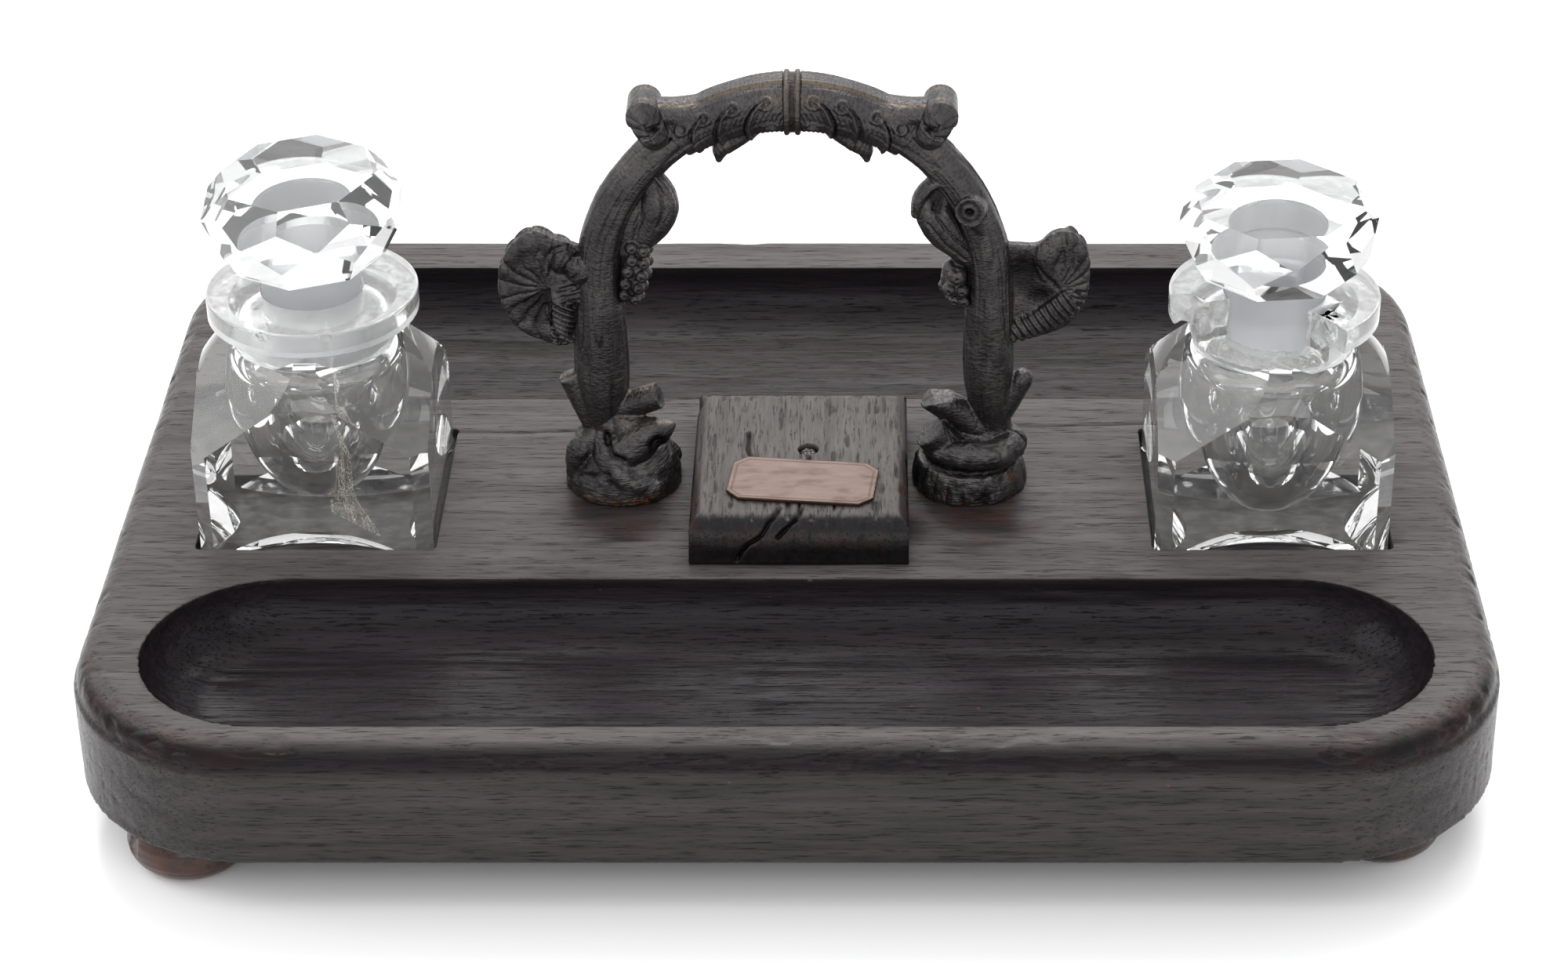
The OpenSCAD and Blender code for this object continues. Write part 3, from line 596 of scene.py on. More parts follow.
def lid():
    """The stamp box lid: dry, open grain from front to back, two cracks."""
    mesh = skinned("lid", copy_of("stamp_lid"), 0.34, 1)
    p, n = points_of(mesh), normals_of(mesh)
    low = np.array([(LID_LOW[0] + LID_HIGH[0]) / 2, (LID_LOW[1] + LID_HIGH[1]) / 2, TOP_Z])
    q = p - low
    high = LID_HIGH - low
    side = np.maximum(np.abs(q[:, 0]) - high[0], np.abs(q[:, 1]) - high[1])
    edge = ease(-4, -0.5, side) * ease(3, 8, q[:, 2])
    grain = ease(0.0, 1.0, layered(p, (1.3, 26, 5), 2, 21)) * 0.30
    pores = ease(0.42, 0.72, noise(p, (0.7, 7, 2.5), 25)) * 0.45 * ease(9, 9.8, q[:, 2])
    cracks = np.zeros(len(p))
    down = np.stack([q[:, 0], -q[:, 1] - q[:, 2]], 1)
    down += 0.4 * np.stack([noise(p, 2.5, 31), noise(p, 2.5, 32)], 1)
    for line in LID_CRACKS:
        cracks = np.maximum(cracks, np.exp(-(to_line(down, line) / 0.42) ** 2))
    cracks *= ease(0, 0.4, n[:, 2] - n[:, 1])
    worn = ease(0.1, 0.9, layered(p, 7, 2, 27)) * 0.6 * edge
    show = ease(0.2, 1.5, q[:, 2])
    sunk = (0.08 + grain + pores + worn) * show + 1.5 * cracks
    set_points(mesh, p - n * sunk[:, None])
    attribute(mesh, "worn", edge * 0.5)
    # Painted shade: the cracks go near black inside; the open pores darken with the grain.
    attribute(mesh, "dark_marks_and_shade", np.maximum(cracks, pores * 1.6))
    attribute(mesh, "polish", np.zeros(len(p)))
    # pale paints light and shade: the top takes the lit tones (partly dust), the front, the lower faces and the flanks
    # the shaded tones.
    flank = 0.8 * ease(-3.2, -1.6, np.abs(q[:, 0]) - high[0])
    attribute(mesh, "pale", 1 - np.maximum.reduce([ease(-24.5, -27.5, q[:, 1]), ease(9.6, 8.4, q[:, 2]), flank]))
    return piece("lid", mesh, GREY_OAK, "stamp_lid", "grey_oak", "stamp_lid")


def knob_plug():
    """A dowel driven into the old knob hole, broken off rough below the top."""
    low, high = corners("lid_knob_plug")
    centre = (low + high) / 2
    r = (high[0] - low[0]) / 2
    length = high[2] - low[2]
    profile = [(0.02, 0), (r * 0.9, 0), (r, 0.4), (r, length - 1.4), (r * 0.82, length - 0.7),
               (r * 0.5, length - 0.9), (0.02, length - 0.6)]
    part = lathe(profile, (centre[0], centre[1], low[2]), 40)
    mesh = skinned("knob_plug", mesh_of("knob_plug", part), 0.15, 1)
    p, n = points_of(mesh), normals_of(mesh)
    ragged = ease(high[2] - 2.5, high[2] - 1.2, p[:, 2])
    set_points(mesh, p - n * (0.25 * (1 + layered(p, (0.8, 1.6, 0.9), 2, 41)) * ragged)[:, None])
    for name in ("worn", "dark_marks_and_shade", "polish", "pale"):
        attribute(mesh, name, np.zeros(len(p)) + 0.2 * (name == "dark_marks_and_shade"))
    return piece("knob_plug", mesh, FOOT_WOOD, "stamp_lid", "plug_wood", "lid_knob_plug")


def foot(node):
    """A turned bun with tool rings, its polish worn off underneath."""
    mesh = skinned(node, copy_of(node), 0.45, 2)
    p, n = points_of(mesh), normals_of(mesh)
    centre = middle(node)
    height = p[:, 2]
    ring = 0.10 * np.maximum(0, np.sin(height * 2 * math.pi / 1.7))
    chips = 0.5 * ease(0.45, 0.9, layered(p, 6, 2, 51))
    out = np.linalg.norm(p[:, :2] - centre[:2], axis=1)
    side = ease(8, 11, out) * ease(0.3, 1.5, height)
    set_points(mesh, p - n * ((ring + chips) * side)[:, None])
    attribute(mesh, "worn", side * 0.8)
    attribute(mesh, "dark_marks_and_shade", np.zeros(len(p)))
    attribute(mesh, "polish", side * 0.5)
    attribute(mesh, "pale", 1 - side)
    return piece("turned_" + node, mesh, FOOT_WOOD, "stand", "foot_wood", node)


def plate():
    """The copper plate: eased edges, an engraved border line, nothing else."""
    low, high = corners("lid_plate")
    source = copy_of("lid_plate")
    mesh = skinned("plate", source, 0.2, 1)
    p, n = points_of(mesh), normals_of(mesh)
    centre = (low + high) / 2
    turn = math.radians(6)
    x, y = p[:, 0] - centre[0], p[:, 1] - centre[1]
    across = np.stack([x * math.cos(turn) - y * math.sin(turn),
                       x * math.sin(turn) + y * math.cos(turn)], 1)
    rim = np.minimum(16.5 - np.abs(across[:, 0]), 9 - np.abs(across[:, 1]))
    rim = np.minimum(rim, (22.5 - np.abs(across[:, 0]) - np.abs(across[:, 1])) / math.sqrt(2))
    line = np.exp(-((rim - 1.1) / 0.22) ** 2) * ease(0.2, 0.6, n[:, 2])
    dents = 0.06 * layered(p, (6, 4, 4), 2, 61)
    set_points(mesh, p - n * (0.07 * line + np.maximum(dents, 0) + 0.02)[:, None])
    attribute(mesh, "dark_marks_and_shade", np.maximum(line * 0.7, 1 - ease(0.05, 0.5, rim)))
    return piece("plate", mesh, COPPER, "stamp_lid", "copper", "lid_plate")


# Bronze handle. Its pieces are drawn in the frame of one half: out from the
# middle, back, and up from the board; placed() puts them on their side.

def placed(part, side):
    return part[0] * (side, 1, 1) + (HANDLE_X, HANDLE_Y, TOP_Z), part[1]


def half_frame(points, side):
    return (points - (HANDLE_X, HANDLE_Y, TOP_Z)) * (side, 1, 1)


def curve(points, count, closed=False):
    """A smooth line of count points through the given ones."""
    points = np.array(points, float)
    if closed:
        points = np.concatenate([points[-1:], points, points[:2]])
    else:
        points = np.concatenate([2 * points[:1] - points[1:2], points,
                                 2 * points[-1:] - points[-2:-1]])
    spans = len(points) - 3
    t = np.linspace(0, spans, count, endpoint=not closed)
    i = np.minimum(t.astype(int), spans - 1)
    t = (t - i)[:, None]
    a, b, c, d = (points[i + k] for k in range(4))
    return 0.5 * (2*b + (c - a)*t + (2*a - 5*b + 4*c - d)*t**2 + (3*b - a - 3*c + d)*t**3)


def branch(path, radii, count=16, depth=1.0, caps=4):
    """A round bar through a few places (out, back, up), with a radius at each."""
    both = curve([(*p, r) for p, r in zip(path, radii)], count)
    return tube(both[:, :3], both[:, 3], 20, depth, caps)


def arch(angle, away=0.0, back=0.0):
    """Place on the arch at an angle in degrees, moved away from its centre."""
    a = math.radians(angle)
    return ((ARCH_R + away) * math.cos(a), back, ARCH_Z + (ARCH_R + away) * math.sin(a))


def on_trunk(q):
    """Distance along the trunk, angle round it, and distance from its middle."""
    above = q[:, 2] > ARCH_Z
    reach = np.hypot(q[:, 0], q[:, 2] - ARCH_Z)
    turn = np.arctan2(np.maximum(q[:, 2] - ARCH_Z, 0), q[:, 0])
    along = np.where(above, ARCH_Z + ARCH_R * turn, q[:, 2])
    out = np.where(above, reach, q[:, 0]) - ARCH_R
    return along, np.arctan2(out, -q[:, 1]), np.hypot(out, q[:, 1])


def bump_at(q, centre, radius, height):
    """A round hill, or a pit when the height is negative, near a place."""
    away = np.linalg.norm((q - centre) / radius, axis=1)
    return height * np.exp(-away**2 * 1.5)


def groove(q, line, width, depth):
    return -depth * np.exp(-(to_line(q, line) / width) ** 2)


def cast(name, parts, side, voxel, node, shape, smooth=2):
    """Bronze from several parts: one skin, displaced by shape(q, normals)."""
    coarse = 1.0
    mesh = skinned(name, mesh_of(name, merged([placed(p, side) for p in parts])),
                   voxel * coarse, smooth)
    p, n = points_of(mesh), normals_of(mesh)
    q = half_frame(p, side)
    lift, fields = shape(q, n * (side, 1, 1))
    set_points(mesh, p + n * lift[:, None])
    along, turn, away = on_trunk(q)
    attribute(mesh, "along", np.stack([5 * turn, along, away], 1) * MM)
    for key in ("hollow", "rubbed_and_lit", "rust"):
        attribute(mesh, key, fields.get(key, np.zeros(len(p))))
    return piece(name, mesh, BRONZE, "stand", "bronze", node)


def bark(q, seed):
    """Long strips and furrows of bark along the trunk."""
    along, turn, away = on_trunk(q)
    place = np.stack([5 * turn, along, away * 0.3], 1)
    strips = layered(place, (1.3, 17, 9), 2, seed)
    furrow = np.exp(-(noise(place, (2.2, 24, 9), seed + 5) / 0.10) ** 2)
    knobs = np.maximum(noise(place, (3, 7, 9), seed + 9), 0)
    across = noise(place, (2.2, 0.9, 9), seed + 11)
    return 0.17 * strips - 0.26 * furrow + 0.22 * knobs + 0.05 * across


def trunk_parts(neck, neck_out, wide):
    stem = [(12, neck + 1.6), (14.5, neck), (20, (neck + wide) / 2), (28, wide), (42, (wide + 5.4) / 2), (51, 5.1)]
    path = [(ARCH_R + neck_out * max(0, 1 - abs(z - 14) / 12), 0, z) for z, r in stem]
    radii = [r for z, r in stem]
    for angle, r in ((12, 4.8), (28, 4.7), (44, 4.6), (56, 4.4)):
        path.append(arch(angle))
        radii.append(r)
    foot = [(13.2, 0), (13.2, 1.2), (12.8, 3.2), (11.6, 6.5), (9.6, 9.5), (6.5, 12.2), (3, 13.6)]
    mound = lathe([(0.1, 0)] + foot + [(0.1, 14)], (MOUND_X, 0, 0), 64)
    return [branch(path, radii, 70), mound]


def trunk_left():
    m = MOUND_X
    parts = trunk_parts(4.6, 0.5, 6.3) + [
        cut_bar((44.4, -0.5, 13.5), (50.9, -1.2, 27.6), 3.6, 2.7),
        cut_bar((41, -1, 18.6), (30.6, -2, 22.8), 3.0, 3.2),
        branch([(m + 4, -6, 5), (m - 1, -6, 10.6), (m - 5.6, -5, 13.8), (m - 9.0, -4.4, 15.2)],
               [3.5, 4.6, 4.3, 3.5], caps=1),
        branch([(m + 5, -0.5, 15), (m, -2.6, 15.2), (m - 6, -4, 14.8)], [3.6, 3.8, 3.2], caps=3),
        branch([(m - 7, -9.5, 2.5), (m + 0.5, -9, 6.5), (m + 4.5, -3, 12)], [2.6, 3.4, 3.4]),
        branch([(m + 5, -2, 14), (m + 9, -3.5, 9.5), (m + 10.8, -4, 4.5)], [2.6, 3.4, 2.2]),
        branch([(m - 1, 8, 3), (m + 2, 5, 9), (m + 4, 1, 14)], [3, 3.4, 3]),
        branch([(m - 10, 5, 3), (m - 4, 3, 9), (m + 3, 0, 14)], [3, 3.4, 3]),
    ]

    def shape(q, n):
        low = ease(17, 11, q[:, 2])
        lift = bark(q, 70) * (1 - 0.7 * low) + 0.30 * low * layered(q, (3, 3, 3.5), 3, 75)
        pits = bump_at(q, (m - 8.6, -8, 13.2), (2.5, 3, 2.4), -1.8)
        pits += bump_at(q, (29.9, -2, 22), (1.2, 2.2, 2.2), -0.5)
        lift += pits + groove(q, [(m - 4, -12, 9.6), (m + 2, -10, 11.6), (m + 3.6, -4, 15)], 0.7, 0.8)
        lift += groove(q, [(m + 10, -8, 5.4), (m + 3, -12, 7.6)], 0.8, 0.6)
        rim = ease(3.2, 0.8, q[:, 2]) * ease(-4, -9, q[:, 1])
        hollow = ease(0.1, 0.5, -lift)
        # top picks the upward faces of the twigs low on the trunk and lays a painted highlight of brass tone there,
        # beside the real rubbed wear at the rim.
        top = ease(0.6, 0.9, n[:, 2]) * ease(30, 26, q[:, 2]) * ease(14, 17, q[:, 2])
        return lift, {"hollow": hollow, "rust": rim,
                      "rubbed_and_lit": top * 0.2 + rim * ease(0.2, 0.8, noise(q, 0.9, 77))}

    return cast("vine_left", parts, -1, 0.28, "vine_trunk_left", shape)


def trunk_right():
    m = MOUND_X
    twig, faces = cut_bar((43, -0.5, 13), (30.4, -1.5, 23), 3.4, 3.7)
    parts = trunk_parts(4.2, 1.2, 5.6) + [
        (np.minimum(twig, (99, 99, 22.2)), faces),
        branch([(44, 0, 13.5), (48, -0.4, 20.5), (51, -0.8, 26.4)], [3, 2.7, 2.5], caps=2),
        cut_bar((m - 2.5, -4, 7.5), (m - 9.0, -4.5, 15.0), 3.8, 4.2),
        branch([(m - 7, -6.4, 10.6), (m - 1, -8.4, 10.6), (m + 6, -7.4, 10.6), (m + 9.6, -2, 10.4),
                (m + 8, 4, 10)], [2.4, 3.3, 3.4, 3.4, 2.6], 26),
        branch([(m + 8, 4, 10), (m, 8, 10.4), (m - 8, 4, 10)], [2.6, 3.2, 2.6], 26),
        cut_bar((39.4, -0.5, 70.2), (38.4, -6.6, 70.9), 3.7, 3.4),
        branch([(39, -4.6, 69), (41, -4.2, 65.4)], [2.2, 0.9]),
    ]

    def shape(q, n):
        low = ease(17, 11, q[:, 2])
        lift = bark(q, 90) * (1 - 0.7 * low) + 0.22 * low * layered(q, (1.6, 1.6, 2.6), 3, 95)
        turn = np.arctan2(q[:, 1], q[:, 0] - m)
        below = ease(8, 6.4, q[:, 2])
        lift -= below * 0.26 * np.exp(-(np.sin(turn * 8 + 1.4 * np.sin(3 * turn)) / 0.35) ** 2)
        lift += below * 0.35 * layered(q, (3.4, 3.4, 7), 2, 97)
        lift -= 0.8 * np.exp(-((q[:, 2] - 7.4) / 0.8) ** 2) * ease(7, 10, np.hypot(q[:, 0] - m, q[:, 1]))
        lift += bump_at(q, (38.3, -6.8, 70.9), (1.0, 2, 1.0), -1.5)
        ring = np.hypot(q[:, 0] - 38.3, q[:, 2] - 70.9)
        lift -= 0.4 * np.exp(-((ring - 2.1) / 0.5) ** 2) * ease(-4.6, -5.6, q[:, 1])
        patch = bump_at(q, (m + 9.5, -9, 4.6), (1.6, 3, 2.6), 1) + bump_at(q, (m - 6.5, -11.5, 1.8), (2.4, 3, 1.4), 0.9)
        rim = ease(1.8, 0.4, q[:, 2]) * 0.5
        return lift, {"hollow": ease(0.1, 0.5, -lift), "rust": np.maximum(patch, rim)}

    return cast("vine_right", parts, 1, 0.28, "vine_trunk_right", shape)


# Relief of the grip: petals that sweep outwards and down from small hooks
PETALS = {-1: (3.3, 10.6, 17.2, 22.6), 1: (2.4, 8.6, 16.4, 22.2)}


def grip(side):
    section = [(6.4, 0), (6.4, 2.5), (5.75, 2.75), (5.0, 4.2), (3.0, 5.7), (0.4, 6.3), (-2.6, 5.7),
               (-4.8, 4.0), (-6.0, 1.9), (-6.3, 0)]
    ring = np.array(section + [(e, -y) for e, y in section[-2:0:-1]])
    loops = []
    for angle in np.linspace(87.8, 55, 60):
        size = 1.0 - 0.16 * (88 - angle) / 33
        loops.append([arch(angle, e * size, y * size) for e, y in ring])
    tip = arch(52.5, 9.2)
    parts = [
        rings([np.array(loop) for loop in loops]),
        tube([(0.9, 0, ARCH_Z + ARCH_R), (4, 0, ARCH_Z + ARCH_R - 0.3)], [5.2, 5.2], 32, caps=0),
        *[tube([(tip[0] - 2.3 * t, -4.7, tip[2] - 4.4 * t), (tip[0] - 2.3 * t, 4.7, tip[2] - 4.4 * t)],
               [3.8 - 0.5 * t] * 2, 32, caps=1) for t in (0, 0.25, 0.5, 0.75, 1)],
        branch([arch(64, 2.6), arch(59, 4.6), arch(55, 7.4)], [3.4, 3.0, 2.6], 12, 1.5),
        branch([arch(77, -3.6), arch(70, -5.6), arch(64.6, -7.4), arch(61.6, -9.6)],
               [3.2, 3.1, 2.2, 0.8], 16),
    ]

    def shape(q, n):
        angle = np.degrees(np.arctan2(q[:, 2] - ARCH_Z, q[:, 0]))
        s = np.radians(88 - angle) * (ARCH_R + 2)
        e = np.hypot(q[:, 0], q[:, 2] - ARCH_Z) - ARCH_R
        v = np.clip((np.arctan2(np.abs(q[:, 1]), e) - 0.45) / 2.1, 0, 1.3)
        sweep = 1 - (1 - np.clip((v - 0.26) / 0.74, 0, 1) ** 0.77) ** 2
        lift, hollow = np.zeros(len(q)), np.zeros(len(q))
        before = np.full(len(q), -9.0)
        for start in PETALS[side]:
            rim = start + 6.6 * sweep
            here = (s > before) & (s <= rim)
            inner, outer = rim - s, s - before
            raised = 0.25 + 0.75 * np.exp(-(inner - 0.5) ** 2 / 0.5) + 0.3 * np.exp(-inner / 2.5)
            veins = 0.10 * np.sin(inner * 5.2)
            shadow = np.exp(-outer / 0.7)
            lift = np.where(here, raised + veins - 0.8 * shadow, lift)
            hollow = np.where(here, shadow, hollow)
            before = rim
        on = ease(0.24, 0.40, v) * ease(1.25, 1.0, v) * ease(-0.5, 1, s) * ease(57, 60, angle)
        lift, hollow = lift * on, hollow * on
        for start in PETALS[side]:
            eye = np.hypot(s - start - 0.6, (v - 0.33) * 13)
            lift += (0.45 * np.exp(-((eye - 1.3) / 0.4) ** 2) - 0.6 * np.exp(-(eye / 0.7) ** 2)) * ease(50, 58, angle)
        oval = np.hypot((s - 3.4) / 1.5, (v - 0.78) * 12 / 0.8)
        lift += 0.4 * np.exp(-((oval - 1.1) / 0.3) ** 2) - 0.8 * np.exp(-oval**2 * 1.6)
        turn = np.hypot(q[:, 0] - tip[0], q[:, 2] - tip[2])
        face = ease(4.0, 4.5, np.abs(q[:, 1])) * ease(9, 8, turn)
        for dx, dz in ((3.6, 0.5), (2.6, -2.6), (0.4, -4.4)):
            lift += groove(q * (1, 0, 1), [(tip[0] - 3.4, 0, tip[2] - 1.6), (tip[0] + dx, 0, tip[2] + dz)], 0.45, 0.7) * face
        lift -= 0.3 * face * ease(3.2, 0.5, turn)
        band = ease(5.6, 6.0, e) * (np.abs(q[:, 1]) < 2.9)
        edge = np.exp(-((np.abs(q[:, 1]) - 2.6) / 0.35) ** 2) * ease(4.8, 5.6, e)
        lift += 0.05 * layered(q, (3, 2, 2), 2, 110) - 0.06 * band * ease(0.3, 0.8, noise(q, (5, 1, 1), 112))
        rubbed_and_lit = 0.5 * edge + 0.25 * bump_at(q, (4, -6, 97), (3, 3, 1.6), 1)
        return lift, {"hollow": hollow, "rubbed_and_lit": np.clip(rubbed_and_lit, 0, 1)}

    name = "grip_left" if side < 0 else "grip_right"
    return cast(name[5:] + "_leaf_grip", parts, side, 0.21, name, shape, 1)


def ring_collar():
    profile = [(5.05, -1.8), (6.6, -1.85), (7.1, -1.6), (7.18, -1.2), (7.05, -0.75), (6.6, -0.5),
               (6.55, 0), (6.6, 0.5), (7.05, 0.75), (7.18, 1.2), (7.1, 1.6), (6.6, 1.85), (5.05, 1.8)]
    points, faces = lathe(profile, (0, 0, 0), 128)
    points = points[:, [2, 1, 0]] + COLLAR
    mesh = mesh_of("collar", (points, faces[:-2]))
    p, n = points_of(mesh), normals_of(mesh)
    set_points(mesh, p - n * (0.12 * np.maximum(0, layered(p, 2.5, 2, 120)))[:, None])
    away = np.hypot(p[:, 1] - COLLAR[1], p[:, 2] - COLLAR[2])
    attribute(mesh, "along", np.stack([away, p[:, 1] + p[:, 2], p[:, 0]], 1) * MM)
    attribute(mesh, "rubbed_and_lit", 0.05 + 0.12 * ease(6.9, 7.2, away))
    for key in ("hollow", "rust"):
        attribute(mesh, key, ease(6.75, 6.5, away) if key == "hollow" else np.zeros(len(p)))
    return piece("collar", mesh, BRONZE, "stand", "bronze", "grip_collar")


def sheet(outline, thick, count=90):
    """A flat plate with the given outline (out, up), edges eased."""
    line = curve(outline, count, closed=True)
    middle_point = line.mean(axis=0)
    loops = []
    for y, inset in ((-1, 0.12), (-0.85, 0.03), (-0.5, 0), (0.5, 0), (0.85, 0.03), (1, 0.12)):
        shape = line + (middle_point - line) * inset
        loops.append(np.stack([shape[:, 0], np.full(count, y * thick / 2), shape[:, 1]], 1))
    return rings(loops)


def fan(q, hub, first, last, ribs):
    """Ribs that spread from a hub between two angles, in degrees."""
    du, dz = q[:, 0] - hub[0], q[:, 2] - hub[1]
    reach, turn = np.hypot(du, dz), np.degrees(np.arctan2(dz, du))
    inside = ease(first - 3, first + 3, turn) * ease(last + 3, last - 3, turn)
    bend = 1.3 * noise(q, 6, 131) + 0.5 * noise(q, 2.2, 132)
    wave = np.abs(np.sin(np.pi * (turn - first) / (last - first) * ribs + bend))
    depth = 0.65 + 0.35 * noise(q, 4, 135)
    return inside * ease(0.8, 4, reach) * depth * (0.9 * wave**0.5 - 0.5), inside, reach


def leaf_left():
    outline = [(42, 58), (46.5, 59.4), (50, 60.8), (53.2, 62), (57.1, 63.6), (61.6, 60.8), (64.4, 55.9), (65.4, 51.1),
               (64.8, 45.5), (62.1, 39.8), (56.6, 36.4), (51.4, 35.2), (48.3, 36), (44, 38)]
    parts = [
        sheet(outline, 3.4),
        ball((50.8, -1.2, 56.6), (3.0, 2.8, 2.9)), ball((47.0, -1.6, 54.6), (3.7, 3.4, 3.6)),
        branch([(54.4, -1.2, 49), (51.8, -2.0, 44.5), (51, -1.4, 38.4)], [1.6, 3.6, 1.6], depth=0.55),
        branch([(54, -1, 49.6), (48, -1.6, 48.6), (43.6, -2, 46.4)], [1.2, 2.3, 2.2], depth=0.8),
    ]

    def shape(q, n):
        ribs, inside, reach = fan(q, (54.9, 49.6), -100, 118, 10)
        front = ease(0.2, 0.6, np.abs(n[:, 1]))
        lower = q[:, 2] < 49.6 - 0.55 * (q[:, 0] - 54.9)
        lift = ribs * front + front * inside * (0.5 * ease(8, 11.5, reach) - 0.35 * ease(8, 3, reach))
        lift -= front * np.where(lower & (q[:, 0] > 54), 0.5, 0)
        comb = np.sin((q[:, 2] - 0.5 * q[:, 0]) * 2 * np.pi / 1.55)
        fold = ease(54.6, 53.6, q[:, 0]) * ease(47.3, 48, q[:, 0]) * ease(47.6, 46, q[:, 2])
        lift += fold * front * (0.42 * comb - 0.2)
        lift += groove(q * (1, 0, 1), [(54.4, 0, 49.6), (54.0, 0, 44), (53.6, 0, 38.6)], 0.4, 0.5) * front
        strands = np.sin((q[:, 2] + 0.35 * q[:, 0]) * 2 * np.pi / 1.3)
        strip = ease(53, 51.5, q[:, 0]) * ease(45.6, 47, q[:, 2]) * ease(51.6, 50.6, q[:, 2])
        lift += 0.22 * strands * strip * front
        for c in ((50.8, 56.6), (47.0, 54.6)):
            ring = np.hypot(q[:, 0] - c[0], q[:, 2] - c[1])
            lift -= 0.4 * np.exp(-((ring - 3.6) / 0.5) ** 2) * front
        lift += 0.06 * layered(q, 1.6, 2, 133)
        return lift, {"hollow": ease(0.1, 0.7, -lift)}

    return cast("leaf_left", parts, -1, 0.2, "vine_leaf_left", shape, 1)


def leaf_right():
    outline = [(42, 61), (46, 60.6), (50.2, 60.2), (54, 60.4), (56.8, 62.9), (59.7, 63.6), (62.7, 62), (64.7, 58.1),
               (65.4, 52), (64.4, 45.9), (61.2, 40.4), (55, 37.4), (48.6, 36.4), (43, 38)]
    parts = [
        sheet(outline, 3.0),
        branch([(55.5, -0.8, 53), (55.2, -1.0, 57), (57.6, -0.8, 60.6)], [2.2, 3.0, 2.6], depth=0.6),
        branch([(60.6, -1.2, 46.6), (55.2, -1.5, 41.8), (48.4, -1.2, 38.4)], [3.2, 2.9, 2.0], depth=0.62),
    ]

    def shape(q, n):
        ribs, inside, reach = fan(q, (58.6, 49.4), -42, 84, 7)
        front = ease(0.2, 0.6, np.abs(n[:, 1]))
        lift = front * (1.15 * ribs + inside * 0.5 * ease(7, 11, reach))
        across = np.sin((q[:, 0] * 0.8 + q[:, 2] * 0.6) * 2 * np.pi / 1.6 + 0.4 * noise(q, 3, 141))
        strip_line = to_line(q * (1, 0, 1), [(60.8, 0, 46.4), (55.2, 0, 41.8), (48.4, 0, 38.4)])
        strip = ease(3.4, 2.6, strip_line)
        lift += front * strip * (0.30 * across + 0.25)
        dish = bump_at(q * (1, 0, 1), (50.6, 0, 53), (4.6, 1, 6.4), -1.1) + bump_at(q * (1, 0, 1), (54.6, 0, 47.4), (3.4, 1, 2.6), -0.9)
        lift += front * dish * (1 - strip)
        lift += front * groove(q * (1, 0, 1), [(53.6, 0, 55), (58.4, 0, 49.6)], 0.5, 0.5)
        lift += 0.06 * layered(q, 1.6, 2, 143)
        return lift, {"hollow": ease(0.15, 0.9, -lift)}

    return cast("leaf_right", parts, 1, 0.2, "vine_leaf_right", shape, 1)


GRAPES = {
    -1: [(35.6, 60.4, 1.45), (33.0, 59.6, 1.35), (35.6, 57.4, 1.5), (33.0, 56.6, 1.35), (36.6, 54.6, 1.5),
         (33.6, 53.4, 1.5), (37.2, 51.6, 1.5), (34.4, 50.4, 1.4), (37.6, 48.8, 1.3), (35.2, 47.6, 1.3)],
    1: [(36.0, 53.6, 2.1), (34.2, 50.2, 1.55), (37.2, 49.8, 1.55), (35.4, 47.4, 1.25), (37.6, 47.0, 1.3)],
}


